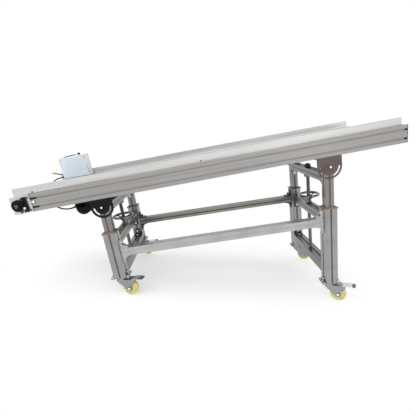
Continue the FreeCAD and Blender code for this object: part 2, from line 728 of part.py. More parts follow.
motorPath = [exitAt(s.motorExit, s.leadSeat)] + motorRoute
powerPath = [exitAt(s.powerExit, s.leadSeat)] + powerRoute
node("motor_lead", "deck", tube("motorLead", motorPath, s.leadDiameter))
node("power_lead", "deck", tube("powerLead", powerPath, s.leadDiameter))


def connector():
    """The loose end's connector: a stepped body with three prongs."""
    x, y, z = powerPath[-1]
    turn = FreeCAD.Rotation(V(0, 1, 0), -90 + s.connectorTilt.number)
    half = s.connectorLength / 2
    grip = rod("connectorGrip", (0, 0, s.seat), s.connectorGrip, half)
    shell = rod("connectorShell", (0, 0, s.seat + half), s.connectorDiameter, half)
    prongs = []
    for index in range(3):
        angle = math.radians(120 * index + 90)
        start = (s.prongRing * math.cos(angle), s.prongRing * math.sin(angle), s.seat + s.connectorLength)
        prongs.append(rod("prong%d" % index, start, s.prongDiameter, s.prongLength))
    whole = fuse("connector", grip, shell, *prongs)
    return placeAt(whole, (x, y, z), turn)


node("lead_connector", "deck", connector())


glands = []
for name, height in (("motorLeadGland", s.motorExit), ("powerLeadGland", s.powerExit)):
    glands.append(rod(name, (-s.boxWidth / 2 - s.glandLength, s.exitSetback, height), s.glandDiameter,
                      s.glandLength, alongX))
node("cable_glands", "box", *glands)


def tiltBracket(leg):
    """A bent plate: a half-round lobe with a pin hole and a half-ring slot, and a foot under the rail."""
    y = -halfTrack - halfRail - s.seat - s.bracketThickness
    drop, radius, slotRadius = tilting[leg]
    width = radius * 2
    thick = s.bracketThickness
    disc = rod(leg + "Disc", (0, y, -drop), width, thick, alongY)
    below = box(leg + "Below", (-radius, y - 1, -drop - radius), (width, thick + 2, radius))
    lobe = common(leg + "Lobe", disc, below)
    upper = box(leg + "Upper", (-radius, y, -drop), (width, thick, drop - s.seat))
    foot = box(leg + "Foot", (-radius, y, -s.seat - thick), (width, s.bracketFoot, thick))
    pin = rod(leg + "PinHole", (0, y - 1, -drop), s.pivotBoltDiameter + 2 * s.axleFit, thick + 2, alongY)
    inner = slotRadius * 2 - s.arcSlotWidth
    outer = slotRadius * 2 + s.arcSlotWidth
    ring = cut(leg + "Ring", rod(leg + "RingOut", (0, y - 1, -drop), outer, thick + 2, alongY),
               rod(leg + "RingIn", (0, y - 2, -drop), inner, thick + 4, alongY))
    half = box(leg + "RingHalf", (-radius, y - 3, -drop - radius), (width, thick + 6, radius))
    arc = common(leg + "Arc", ring, half)
    return cut(leg + "TiltBracket", fuse(leg + "BracketSolid", lobe, upper, foot), pin, arc)


node("low_tilt_brackets", "lowBracket", *pair(tiltBracket("low")))
node("high_tilt_brackets", "highBracket", *pair(tiltBracket("high")))

motorDrop = -(halfRailHeight + s.mountPlateThickness + s.motorDiameter / 2)
coverStart = plateOuter + s.seat


def gearMotor():
    """The drive: a round motor, its square gearbox and the shaft to the far side."""
    y = s.motorNearEnd
    can = rod("motorCan", (s.motorPlace, y, motorDrop), s.motorDiameter, s.motorLength, alongY)
    half = s.gearboxSize / 2
    top = -halfRailHeight - s.mountPlateThickness
    gears = box("gearbox", (s.motorPlace - half, y + s.motorLength, motorDrop - half),
                (s.gearboxSize, s.gearboxLength, top - motorDrop + half))
    shaftStart = y + s.motorLength + s.gearboxLength
    shaft = rod("motorShaft", (s.motorPlace, shaftStart, motorDrop), s.motorShaft,
                coverStart + s.coverDepth / 2 - shaftStart, alongY)
    x, across, z = motorRoute[-1]
    inlet = rod("motorInlet", (x + s.leadSeat, across, z), s.glandDiameter, s.motorPlace - x - s.leadSeat,
                alongX)
    return fuse("gearMotor", can, gears, shaft, inlet)


node("gear_motor", "deck", gearMotor())
mountPlate = box("mountPlate", (s.motorPlace - s.mountPlateLength / 2, -halfTrack,
                                -halfRailHeight - s.mountPlateThickness),
                 (s.mountPlateLength, s.trackWidth, s.mountPlateThickness))
node("motor_mount", "deck", mountPlate)


def slantedCase(name, diameter, start, depth):
    """A flat case with round ends, from the low drum's shaft down to the motor's shaft."""
    run = s.motorPlace - s.lowDrumPlace
    length = math.hypot(run.number, motorDrop.number)
    slope = math.degrees(math.atan2(-motorDrop.number, run.number))
    ends = [rod(name + "End%d" % index, (x, start, z), diameter, depth, alongY)
            for index, (x, z) in enumerate(((s.lowDrumPlace, size(0)), (s.motorPlace, motorDrop)))]
    middle = bind(new("Part::Box", name + "Middle"), Length=length, Width=depth, Height=diameter)
    turn = FreeCAD.Rotation(V(0, 1, 0), slope)
    shift = turn.multVec(V(0, 0, -diameter.number / 2))
    placeAt(middle, (s.lowDrumPlace + shift.x, start, shift.z), turn)
    return fuse(name, middle, *ends)


def driveCover():
    """The guard over the chain drive on the far side: a shallow case open towards the rail."""
    outer = slantedCase("coverOuter", s.coverDiameter, coverStart, s.coverDepth)
    inner = slantedCase("coverInner", s.coverDiameter - 2 * s.coverWall, coverStart - 1,
                        s.coverDepth - s.coverWall + 1)
    return cut("driveCover", outer, inner)


node("drive_cover", "deck", driveCover())


def controlBox():
    """The control box: a shallow case with rounded upright edges, standing at the far guard."""
    raw = bind(new("Part::Box", "boxRaw"), Length=s.boxWidth, Width=s.boxDepth, Height=s.boxHeight)
    placeAt(raw, (-s.boxWidth / 2, 0, 0))
    round_ = new("Part::Fillet", "boxRound")
    round_.Base = raw
    round_.Edges = [(number, s.boxCorner.number, s.boxCorner.number) for number in (1, 3, 5, 7)]
    return round_


node("control_box", "box", controlBox())
node("speed_knob", "box", rod("knob", (s.knobPlace, s.boxDepth / 2, s.boxHeight), s.knobDiameter, s.knobHeight))


def casterFork(name):
    """A pressed fork: the race, a top plate, and two cheeks that narrow to the axle."""
    top = -s.casterPlateThickness - s.seat
    race = rod(name + "Race", (0, 0, top - s.raceHeight), s.raceDiameter, s.raceHeight)
    width = s.forkInnerWidth + 2 * s.forkWall
    crown = top - s.raceHeight
    drop = s.casterHeight - s.casterWheelDiameter / 2
    trail = s.casterTrail
    cheeks = []
    for side, y in (("Near", -width / 2), ("Far", s.forkInnerWidth / 2)):
        body = newBody(name + "Cheek" + side)
        boss = s.axleBoss
        shape = [(-s.raceDiameter / 2, crown), (-s.raceDiameter / 2, crown - s.forkLip),
                 (trail - boss, -drop - boss / 2), (trail - boss / 2, -drop - boss),
                 (trail + boss / 2, -drop - boss), (trail + boss, -drop - boss / 2), (trail + boss, -drop + boss),
                 (trail + s.forkTail, crown - s.forkLip), (trail + s.forkTail, crown)]
        pad(body, outline(body, name + side + "Side", "XZ_Plane", shape), s.forkWall)
        placeAt(body, (0, y + s.forkWall, 0))
        cheeks.append(body)
    crownPlate = box(name + "Crown", (-s.raceDiameter / 2, -width / 2, crown - s.forkWall),
                     (s.raceDiameter / 2 + trail + s.forkTail, width, s.forkWall))
    axle = rod(name + "Axle", (trail, -width / 2 - 3, -drop), s.axleDiameter, width + 6, alongY)
    return fuse(name + "Fork", race, crownPlate, *cheeks, axle)


tyreHalf = s.casterWheelWidth / 2
tyreRadius = s.casterWheelDiameter / 2
# columns: radius and place across the tyre, from the middle of the tread to its edge
tread = [(tyreRadius, tyreHalf * 0.2), (tyreRadius - 1.2, tyreHalf * 0.55), (tyreRadius - 3.5, tyreHalf)]


def casterWheel(name):
    """A wheel turned about its axle: crowned tread, recessed sides, a boss at the bore."""
    body = newBody(name + "Wheel")
    half = tyreHalf
    bore = s.axleDiameter / 2 + s.axleFit
    hub = s.hubDiameter / 2
    side = tread + [(tyreRadius - 6, half), (tyreRadius - 9, half - s.wheelDish), (hub, half - s.wheelDish),
                    (hub, half + 1), (bore, half + 1)]
    sketch = outline(body, name + "Half", "XZ_Plane", [(x, -y) for x, y in reversed(side)] + side)
    turn = body.newObject("PartDesign::Revolution", name + "Turn")
    turn.Profile = sketch
    turn.ReferenceAxis = (sketch, ["V_Axis"])
    turn.Angle = 360
    drop = s.casterHeight - s.casterWheelDiameter / 2
    return placeAt(body, (s.casterTrail, 0, -drop), alongY)


def pedal(name):
    """The brake pedal behind the fork: a flat tongue that lies on its crown."""
    top = -s.casterPlateThickness - s.seat - s.raceHeight
    start = s.casterTrail + s.forkTail - s.pedalSeat
    return box(name + "Tongue", (start, -s.pedalWidth / 2, top),
               (s.casterTrail + s.pedalLength - start, s.pedalWidth, s.pedalThickness))


for leg, place, top, length, barDrop, insertion, lift, swivel in legs:
    for side in ("near", "far"):
        name = leg + "_" + side
        frame = name + "Caster"
        node(name + "_fork", frame, casterFork(leg + side))
        node(name + "_wheel", frame, casterWheel(leg + side))
        node(name + "_pedal", frame, pedal(leg + side))

doc.recompute()


def leanOf():
    """The lean, in radians, at which all four wheels stand on the floor, and the floor's height."""
    lean = 0.0
    radius = tyreRadius.number
    for _ in range(60):
        depth = []
        for leg, place, top, length, barDrop, insertion, lift, swivel in legs:
            turn = math.radians(swivel.number)
            tilt = abs(math.sin(turn) * math.sin(lean))
            along = place.number + s.casterTrail.number * math.cos(turn)
            down = top.number - length.number - s.casterHeight.number + radius
            reach = max(x.number * math.sqrt(1 - tilt * tilt) + y.number * tilt for x, y in tread)
            depth.append(along * math.sin(lean) + down * math.cos(lean) - reach)
        lean += (depth[0] - depth[1]) / s.legSpacing.number
    return lean, depth[0]


lean, floor = leanOf()


def at(frame, place, turn=None):
    return frame.multiply(FreeCAD.Placement(place, turn or FreeCAD.Rotation()))


def framesFrom(origin):
    """Every frame in the world, from the place of the stand's own origin."""
    stand = FreeCAD.Placement(origin, FreeCAD.Rotation(V(0, 1, 0), -math.degrees(lean)))
    deck = at(stand, V(0, 0, s.railMidHeight.number), FreeCAD.Rotation(V(0, 1, 0), -s.railRise.number))
    frames = {"stand": stand, "lowLift": stand, "highLift": stand, "lowWheel": stand, "highWheel": stand,
              "deck": deck, "box": deck.multiply(boxInDeck)}
    for leg, place, top, length, barDrop, insertion, lift, swivel in legs:
        reach = (halfRailHeight + tilting[leg][0]).number
        along = (place.number - reach * riseSine) / riseCosine
        frames[leg + "Bracket"] = at(deck, V(along, 0, -halfRailHeight.number))
        for side, sign in (("near", -1), ("far", 1)):
            foot = V(place.number, sign * halfTrack.number, top.number - length.number)
            frames[leg + "_" + side + "Caster"] = at(stand, foot, FreeCAD.Rotation(V(0, 0, 1), swivel.number))
    return frames


def placeNodes(origin):
    """Sets every node into its frame and gives the box round all but the leads and the connector."""
    frames = framesFrom(origin)
    bounds = FreeCAD.BoundBox()
    for group, frame in nodes:
        group.Placement = frames[frame]
        if not group.Label.endswith(("_lead", "_connector")):
            bounds.add(group.Shape.BoundBox)
    return bounds


start = V(0, 0, -floor)
around = placeNodes(start)
origin = start - V(around.Center.x, around.Center.y, around.ZMin)
around = placeNodes(origin)
doc.recompute()

faults = ["%s: %s" % (thing.Name, thing.State) for thing in doc.Objects
          if "Invalid" in thing.State or "Error" in thing.State]
faults += [group.Label for group, frame in nodes if group.Shape.isNull() or not group.Shape.isValid()]
for thing in doc.Objects:
    if thing.TypeId == "PartDesign::Pocket" and thing.Shape.Volume >= thing.BaseFeature.Shape.Volume - 1:
        faults.append(thing.Name + " removes nothing")
if faults:
    raise SystemExit("\n".join(faults))

os.makedirs("parts", exist_ok=True)
for group, frame in nodes:
    group.Shape.exportStep("parts/%s.step" % group.Label)
total = sum(group.Shape.Volume for group, frame in nodes)
print("nodes", len(nodes), "volume in litres", round(total / 1e6, 2))
print("lean", round(math.degrees(lean), 4), "origin", [round(value, 3) for value in origin])
print("box in deck", [round(value, 3) for value in boxInDeck.Base])
print("pivots", [round(pivots[leg].number, 3) for leg in ("low", "high")], "motor", round(motorDrop.number, 2))
print("box", [round(value, 2) for value in (around.XMin, around.YMin, around.ZMin, around.XMax, around.YMax,
                                            around.ZMax)])
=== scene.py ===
import math

import bpy
import numpy as np
from mathutils import Matrix


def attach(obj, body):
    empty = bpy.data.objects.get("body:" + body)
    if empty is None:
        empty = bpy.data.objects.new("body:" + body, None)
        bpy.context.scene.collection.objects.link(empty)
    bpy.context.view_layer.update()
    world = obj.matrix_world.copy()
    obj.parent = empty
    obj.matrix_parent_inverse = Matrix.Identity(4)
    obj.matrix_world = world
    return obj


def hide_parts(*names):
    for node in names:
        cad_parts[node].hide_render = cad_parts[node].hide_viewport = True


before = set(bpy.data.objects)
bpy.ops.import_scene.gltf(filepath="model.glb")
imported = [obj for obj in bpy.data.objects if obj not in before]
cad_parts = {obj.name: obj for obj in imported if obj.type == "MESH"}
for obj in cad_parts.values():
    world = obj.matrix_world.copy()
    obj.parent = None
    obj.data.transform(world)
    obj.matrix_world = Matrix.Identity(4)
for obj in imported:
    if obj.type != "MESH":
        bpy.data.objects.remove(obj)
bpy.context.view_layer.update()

# Lengths of pieces are in millimetres, and are turned into metres where a mesh or a lead is made. Grain sizes,
# the floor and the lamps are in metres.
# The stand leans, and the deck rises above it. Each frame is a rotation and an origin.
lean = math.radians(11.1289)
rise = math.radians(2.06)


# Turns about Y and about Z.
def turnY(angle):
    c, s = math.cos(angle), math.sin(angle)
    return np.array([[c, 0, -s], [0, 1, 0], [s, 0, c]])


def turnZ(angle):
    c, s = math.cos(angle), math.sin(angle)
    return np.array([[c, -s, 0], [s, c, 0], [0, 0, 1]])


# A frame given by its place and turn inside another frame.
def within(outer, place, turn=np.eye(3)):
    return outer[0] @ turn, outer[1] + outer[0] @ np.array(place, float)


world = (np.eye(3), np.zeros(3))
stand = within(world, (-456.722, 9.01, 329.032), turnY(lean))
deck = within(stand, (0, 0, 211.7), turnY(rise))
boxFrame = within(deck, (-274, 175.7, 43.3))
pivotHeight = {"low": 133.95, "high": 164.488}
barDrop = {"low": 16, "high": 52.2}
legPlace = {"low": 0, "high": 1066}
postTop = {"low": 0, "high": -38}
postFoot = {"low": -234, "high": -443}
swivel = {"low": -17, "high": -30}
halfTrack = 240  # from the middle to a post
bottomBar = {"low": 45, "high": 91}  # the top of the bottom crossbar, above the posts' feet
beamHeight = -105  # the middle of the side beams
barHalf = 20  # half the thickness of crossbars and beams


# A caster stands under the foot of its post, turned by its swivel.
def casterFrame(leg, side):
    y = -halfTrack if side == "near" else halfTrack
    return within(stand, (legPlace[leg], y, postFoot[leg]), turnZ(math.radians(swivel[leg])))


# The middle height of the crossbar that a lift carries.
def topBar(leg):
    return pivotHeight[leg] - barDrop[leg]


# A place in a frame, in metres in the world.
def pointIn(where, place):
    return (where[1] + where[0] @ np.array(place, float)) / 1000


# Camera

cameraSizes = {"place": (487.756, -1481.886, 404.329), "sensor": 36, "focalPixels": 268.986,
               "picturePixels": 416, "reach": 60}
right = np.array((0.98919, -0.03829, -0.14155))
down = np.array((-0.14663, -0.27270, -0.95086))
forward = np.array((-0.00219, 0.96134, -0.27537))
columns = [stand[0] @ right, -(stand[0] @ down), -(stand[0] @ forward)]
camera = bpy.data.objects.new("camera", bpy.data.cameras.new("camera"))
bpy.context.scene.collection.objects.link(camera)
turn = Matrix([[columns[c][r] for c in range(3)] for r in range(3)]).to_4x4()
camera.matrix_world = Matrix.Translation(pointIn(stand, cameraSizes["place"])) @ turn
camera.data.sensor_width = cameraSizes["sensor"]
camera.data.lens = cameraSizes["focalPixels"] / cameraSizes["picturePixels"] * cameraSizes["sensor"]
camera.data.clip_end = cameraSizes["reach"]
bpy.context.scene.camera = camera
print("camera done")

# Materials


# A colour ramp over a factor, between two stops of (place, colour).
def ramped(tree, factor, stops):
    node = tree.nodes.new("ShaderNodeValToRGB")
    for element, (place, colour) in zip(node.color_ramp.elements, stops):
        element.position = place
        element.color = tuple(colour) + (1,)
    tree.links.new(factor, node.inputs["Fac"])
    return node.outputs["Color"]


# A value brought from its own range to 0 to 1.
def ranged(tree, value, low, high):
    node = tree.nodes.new("ShaderNodeMapRange")
    node.inputs["From Min"].default_value = low
    node.inputs["From Max"].default_value = high
    tree.links.new(value, node.inputs["Value"])
    return node.outputs["Result"]


# A node material: a Principled shader and the nodes that feed it.
class Paint:
    def __init__(self, name, metallic=0.0, roughness=0.5, **constants):
        self.material = bpy.data.materials.new(name)
        self.material.use_nodes = True
        self.tree = self.material.node_tree
        self.shader = self.tree.nodes["Principled BSDF"]
        self.shader.inputs["Metallic"].default_value = metallic
        self.shader.inputs["Roughness"].default_value = roughness
        for socket, value in constants.items():
            self.shader.inputs[socket.replace("_", " ")].default_value = value
        self.coordinates = self.tree.nodes.new("ShaderNodeTexCoord").outputs["Object"]

    def link(self, output, socket):
        self.tree.links.new(output, socket)

    # Object coordinates turned into a leaning frame and divided by a grain size per axis, in metres.
    def mapped(self, grain, tilt=0.0):
        node = self.tree.nodes.new("ShaderNodeMapping")
        node.vector_type = "TEXTURE"
        node.inputs["Rotation"].default_value = (0, -tilt, 0)
        node.inputs["Scale"].default_value = grain
        self.link(self.coordinates, node.inputs["Vector"])
        return node.outputs["Vector"]

    def noise(self, grain, tilt=0.0, detail=3.0, roughness=0.5):
        node = self.tree.nodes.new("ShaderNodeTexNoise")
        node.inputs["Scale"].default_value = 1.0
        node.inputs["Detail"].default_value = detail
        node.inputs["Roughness"].default_value = roughness
        self.link(self.mapped(grain, tilt), node.inputs["Vector"])
        return node.outputs["Fac"]

    def ramp(self, factor, *stops):
        return ramped(self.tree, factor, stops)

    def mix(self, factor, one, two, kind="MIX"):
        node = self.tree.nodes.new("ShaderNodeMix")
        node.data_type = "RGBA"
        node.blend_type = kind
        for socket, value in ((node.inputs["Factor"], factor), (node.inputs[6], one), (node.inputs[7], two)):
            if isinstance(value, bpy.types.NodeSocket):
                self.link(value, socket)
            elif isinstance(value, (int, float)):
                socket.default_value = value
            else:
                socket.default_value = tuple(value) + (1,)
        return node.outputs[2]

    def colour(self, output):
        self.link(output, self.shader.inputs["Base Color"])
        return self

    def rough(self, factor, low, high):
        node = self.tree.nodes.new("ShaderNodeMapRange")
        node.inputs["To Min"].default_value = low
        node.inputs["To Max"].default_value = high
        self.link(factor, node.inputs["Value"])
        self.link(node.outputs["Result"], self.shader.inputs["Roughness"])
        return self

    # Surface relief from a factor; bevel softens sharp edges by a radius in metres.
    def bump(self, factor, strength, distance, bevel=0.0):
        node = self.tree.nodes.new("ShaderNodeBump")
        node.inputs["Strength"].default_value = strength
        node.inputs["Distance"].default_value = distance
        self.link(factor, node.inputs["Height"])
        if bevel:
            soft = self.tree.nodes.new("ShaderNodeBevel")
            soft.samples = 4
            soft.inputs["Radius"].default_value = bevel
            self.link(soft.outputs["Normal"], node.inputs["Normal"])
        self.link(node.outputs["Normal"], self.shader.inputs["Normal"])
        return self


# A darker and a lighter neighbour of a colour.
def shades(colour, spread):
    return [c * (1 - spread) for c in colour], [min(1, c * (1 + spread)) for c in colour]


# Where the painted shade on the far side of the stand begins.
paintedShadeFrom = (0.02, 0.04)  # the change from near to far, in metres along Y


# One colour on the near side of the stand and a painted shade on its far side.
def shadeFarSide(paint, near, far):
    split = paint.tree.nodes.new("ShaderNodeSeparateXYZ")
    paint.link(paint.coordinates, split.inputs["Vector"])
    return paint.mix(ranged(paint.tree, split.outputs["Y"], *paintedShadeFrom), near, far)


# The same grain size along every axis.
def even(size):
    return size, size, size


# Bare metal: fine lines or grain over broad soft clouds, with the roughness following the grain; painted shade
# on the far side if given.
def metalPaint(name, colour, grain, tilt=0.0, spread=0.10, roughness=(0.25, 0.42), relief=0.15,
               bevel=0.0008, paintedFarShade=None, clouds=even(0.09)):
    paint = Paint(name, 1.0, 0.35)
    fine = paint.noise(grain, tilt, 2.0)
    cloud = paint.noise(clouds, tilt, 4.0)
    dark, light = shades(colour, spread)
    lines = paint.ramp(fine, (0.3, dark), (0.7, light))
    dull = paint.ramp(cloud, (0.35, (0.86, 0.86, 0.87)), (0.65, (1, 1, 1)))
    tone = paint.mix(1.0, lines, dull, "MULTIPLY")
    # Painted shade: the tone darkened on the far side of the stand.
    if paintedFarShade:
        tone = shadeFarSide(paint, tone, paint.mix(1.0, tone, paintedFarShade, "MULTIPLY"))
    paint.colour(tone)
    paint.rough(fine, *roughness)
    return paint.bump(fine, relief, 0.0003, bevel).material


# Paint or moulded plastic: a fine skin with small specks over faint clouds.
def coatPaint(name, colour, spread=0.12, roughness=(0.35, 0.5), peel=0.0012, relief=0.12, bevel=0.0008,
              **constants):
    paint = Paint(name, 0.0, 0.4, **constants)
    skin = paint.noise(even(peel), 0.0, 2.0)
    cloud = paint.noise(even(0.05), 0.0, 5.0, 0.6)
    dark, light = shades(colour, spread)
    tone = paint.ramp(cloud, (0.3, dark), (0.7, light))
    speck = paint.ramp(skin, (0.25, (0.93, 0.93, 0.93)), (0.6, (1, 1, 1)))
    paint.colour(paint.mix(1.0, tone, speck, "MULTIPLY"))
    paint.rough(cloud, *roughness)
    return paint.bump(skin, relief, 0.0003, bevel).material


# Grain sizes in metres: long along a drawn section, where its fine lines run.
alongPost = (0.0009, 0.0009, 0.4)
alongBeam = (0.4, 0.0009, 0.0009)
alongBar = (0.0009, 0.4, 0.0009)
alongRail = (0.5, 0.0009, 0.0009)
railClouds = (0.5, 0.012, 0.012)
# The aluminium parts here, cast ones aside, are one metal: the tone given to each node is painted shade and
# painted reflection, darkest on the crossbars and upper posts.
postAluminium = metalPaint("postAluminium", (0.38, 0.375, 0.37), alongPost, lean)
# The side beams carry a painted shade on the far side of the stand.
beamAluminiumFarShaded = metalPaint("beamAluminiumFarShaded", (0.51, 0.505, 0.50), alongBeam, lean,
                           paintedFarShade=(0.58, 0.555, 0.52))
upperAluminium = metalPaint("upperAluminium", (0.30, 0.295, 0.285), alongPost, lean)
railAluminium = metalPaint("railAluminium", (0.40, 0.392, 0.385), alongRail, lean + rise, clouds=railClouds)
lowPostAluminium = metalPaint("lowPostAluminium", (0.28, 0.275, 0.27), alongPost, lean)
crossAluminium = metalPaint("crossAluminium", (0.24, 0.235, 0.225), alongBar, lean)
# Painted shade and painted reflection: the darkest tone, for the high top crossbar.
shadedTopBarAluminium = metalPaint("shadedTopBarAluminium", (0.22, 0.215, 0.205), alongBar, lean)
guardAluminium = metalPaint("guardAluminium", (0.69, 0.685, 0.675), (0.6, 0.0012, 0.0012), lean + rise,
                            roughness=(0.3, 0.45), bevel=0.0005, clouds=railClouds)
castAluminium = metalPaint("castAluminium", (0.36, 0.36, 0.355), even(0.0016), spread=0.2,
                           roughness=(0.45, 0.62), relief=0.4, bevel=0.0012)


# Cast corners: bright on the near side of the stand, and dark on its far side as painted shade.
def gussetPaint():
    paint = Paint("gussetCastingFarShaded", 0.9, 0.5)
    grain = paint.noise(even(0.0016), 0.0, 2.0)
    bright = paint.ramp(grain, (0.3, (0.44, 0.44, 0.435)), (0.7, (0.62, 0.62, 0.61)))
    # Painted shade: the far side's dark tone.
    dark = paint.ramp(grain, (0.3, (0.07, 0.068, 0.065)), (0.7, (0.13, 0.125, 0.12)))
    paint.colour(shadeFarSide(paint, bright, dark))
    paint.rough(grain, 0.42, 0.6)
    return paint.bump(grain, 0.4, 0.0003, 0.0012).material


gussetCastingFarShaded = gussetPaint()
# Painted groove shade: a darker strip for the rails' outer slots.
railGrooveShade = metalPaint("railGrooveShade", (0.30, 0.285, 0.27), alongRail, lean + rise,
                         roughness=(0.4, 0.55), bevel=0.0)
# Painted groove shade: a dark strip for the crossbars' side slots.
crossSlotShade = metalPaint("crossSlotShade", (0.12, 0.118, 0.115), alongBar, lean, bevel=0.0)
coverStrip = metalPaint("coverStrip", (0.47, 0.466, 0.46), alongRail, lean, bevel=0.0)
zincSteel = metalPaint("zincSteel", (0.36, 0.375, 0.385), even(0.006), spread=0.14,
                       roughness=(0.28, 0.42), relief=0.1)
screwSteel = metalPaint("screwSteel", (0.15, 0.20, 0.215), (0.002, 0.002, 0.02), lean, roughness=(0.25, 0.45))
boltSteel = metalPaint("boltSteel", (0.72, 0.73, 0.75), even(0.001), roughness=(0.2, 0.35), bevel=0.0004)
whiteBolt = metalPaint("whiteBolt", (0.90, 0.90, 0.89), even(0.001), roughness=(0.3, 0.45), bevel=0.0004)
blackScrew = metalPaint("blackScrew", (0.05, 0.05, 0.055), even(0.001), roughness=(0.35, 0.5), bevel=0.0004)
wheelChrome = metalPaint("wheelChrome", (0.24, 0.235, 0.23), even(0.012), spread=0.08,
                         roughness=(0.06, 0.14), relief=0.03, bevel=0.0)
darkBoss = metalPaint("darkBoss", (0.13, 0.13, 0.135), even(0.003), roughness=(0.4, 0.55), bevel=0.0004)
blackPaint = coatPaint("blackPaint", (0.007, 0.007, 0.008), 0.3, (0.5, 0.65), Specular_IOR_Level=0.12)
# A brown for the high tilt brackets and their pivot bolts; the low leg's are black.
highBracketBrown = coatPaint("highBracketBrown", (0.090, 0.065, 0.058), 0.2, (0.3, 0.45))
motorPaint = coatPaint("motorPaint", (0.006, 0.006, 0.007), 0.3, (0.45, 0.6), bevel=0.0,
                       Specular_IOR_Level=0.12)
coverPaint = coatPaint("coverPaint", (0.46, 0.49, 0.52), 0.06, (0.3, 0.42))
boxEnamel = coatPaint("boxEnamel", (0.69, 0.715, 0.75), 0.05, (0.25, 0.38), 0.0016, 0.15, 0.0012)
boxLid = coatPaint("boxLid", (0.67, 0.72, 0.80), 0.04, (0.25, 0.38), 0.0016, 0.15, 0.0010)
tanPlastic = coatPaint("tanPlastic", (0.21, 0.16, 0.12), 0.15, (0.4, 0.55), 0.0008, 0.2, 0.0010)
blackPlastic = coatPaint("blackPlastic", (0.007, 0.007, 0.008), 0.25, (0.4, 0.6), 0.0007, 0.25, 0.0005,
                         Specular_IOR_Level=0.3)
# Painted groove shade for the strips in the slots; the lighter grey also colours the box's seam.
slotShadeAndSeamGrey = coatPaint("slotShadeAndSeamGrey", (0.12, 0.115, 0.11), 0.2, (0.6, 0.8), 0.002, 0.1, 0.0,
                     Specular_IOR_Level=0.1)
slotShade = coatPaint("slotShade", (0.035, 0.034, 0.033), 0.2, (0.6, 0.8), 0.002, 0.1, 0.0,
                      Specular_IOR_Level=0.1)
whitePlastic = coatPaint("whitePlastic", (0.80, 0.80, 0.78), 0.06, (0.3, 0.4), 0.0009, 0.15, 0.0004)
beigePlastic = coatPaint("beigePlastic", (0.62, 0.52, 0.38), 0.08, (0.28, 0.4), 0.0009, 0.15, 0.0004)
leadRubber = coatPaint("leadRubber", (0.008, 0.008, 0.009), 0.25, (0.5, 0.65), 0.0011, 0.3, 0.0,
                       Specular_IOR_Level=0.25)
polyurethane = coatPaint("polyurethane", (0.66, 0.60, 0.19), 0.12, (0.3, 0.5), 0.002, 0.15, 0.0,
                         Coat_Weight=0.2)
hubPlastic = coatPaint("hubPlastic", (0.07, 0.075, 0.08), 0.2, (0.35, 0.5), 0.001, 0.2, 0.0004)
bluePlastic = coatPaint("bluePlastic", (0.03, 0.05, 0.30), 0.2, (0.3, 0.45), 0.001, 0.2, 0.0004)


# A green covered belt: a fine crossed weave pressed through the cover, with long soft stains.
def beltPaint():
    paint = Paint("beltCover", 0.0, 0.55, Sheen_Weight=0.1)
    waves = []
    for direction in ("X", "Y"):
        wave = paint.tree.nodes.new("ShaderNodeTexWave")
        wave.bands_direction = direction
        wave.inputs["Scale"].default_value = 1.0
        wave.inputs["Distortion"].default_value = 0.6
        paint.link(paint.mapped(even(0.012), lean + rise), wave.inputs["Vector"])
        waves.append(wave.outputs["Fac"])
    weave = paint.mix(0.5, waves[0], waves[1])
    cloud = paint.noise((0.35, 0.03, 0.1), lean + rise, 4.0)
    tone = paint.ramp(cloud, (0.3, (0.018, 0.075, 0.048)), (0.7, (0.030, 0.105, 0.070)))
    shade = paint.ramp(weave, (0.2, (0.85, 0.85, 0.85)), (0.8, (1, 1, 1)))
    paint.colour(paint.mix(1.0, tone, shade, "MULTIPLY"))
    paint.rough(cloud, 0.42, 0.6)
    return paint.bump(weave, 0.25, 0.0004).material


beltCover = beltPaint()

nodeMaterials = {
    postAluminium: ("low_lower_posts", "high_lower_posts"),
    upperAluminium: ("high_upper_posts",),
    lowPostAluminium: ("low_upper_posts",),
    beamAluminiumFarShaded: ("side_beams",),
    crossAluminium: ("mid_crossbars", "bottom_crossbars", "low_top_crossbar"),
    shadedTopBarAluminium: ("high_top_crossbar",),
    railAluminium: ("side_rails",),
    guardAluminium: ("side_guards", "clamp_strips", "end_plates"),
    gussetCastingFarShaded: ("beam_gussets", "crossbar_gussets"),
    castAluminium: ("low_top_gussets", "high_top_gussets"),
    tanPlastic: ("post_collars",),
    zincSteel: ("caster_plates", "caster_angles", "drums", "slider_bed", "cross_ties", "motor_mount",
                "low_near_fork", "low_far_fork", "high_near_fork", "high_far_fork",
                "low_near_pedal", "low_far_pedal", "high_near_pedal", "high_far_pedal"),
    screwSteel: ("low_lift_screw", "high_lift_screw"),
    wheelChrome: ("low_handwheel", "high_handwheel"),
    beltCover: ("belt",),
    blackPaint: ("drum_bearings", "low_tilt_brackets", "low_pivot_bolts"),
    highBracketBrown: ("high_tilt_brackets", "high_pivot_bolts"),
    motorPaint: ("gear_motor",),
    coverPaint: ("drive_cover",),
    boxEnamel: ("control_box",),
    blackPlastic: ("speed_knob", "cable_glands", "rail_caps"),
    leadRubber: ("motor_lead", "power_lead"),
    beigePlastic: ("lead_connector",),
    polyurethane: ("low_near_wheel", "low_far_wheel", "high_near_wheel", "high_far_wheel"),
}
for material, names in nodeMaterials.items():
    for name in names:
        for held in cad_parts[name].material_slots:
            held.material = material
print("materials", len(nodeMaterials), "kinds on", sum(map(len, nodeMaterials.values())), "nodes")

# Mesh makers: each gives (points, faces) in millimetres


# Quads of a grid of points; closed joins the last column to the first.
def gridFaces(rows, columns, closed):
    last = columns if closed else columns - 1
    row, one = np.meshgrid(np.arange(rows - 1) * columns, np.arange(last), indexing="ij")
    two = (one + 1) % columns
    quads = np.stack([row + one, row + two, row + columns + two, row + columns + one], -1)
    return [tuple(quad) for quad in quads.reshape(-1, 4).tolist()]


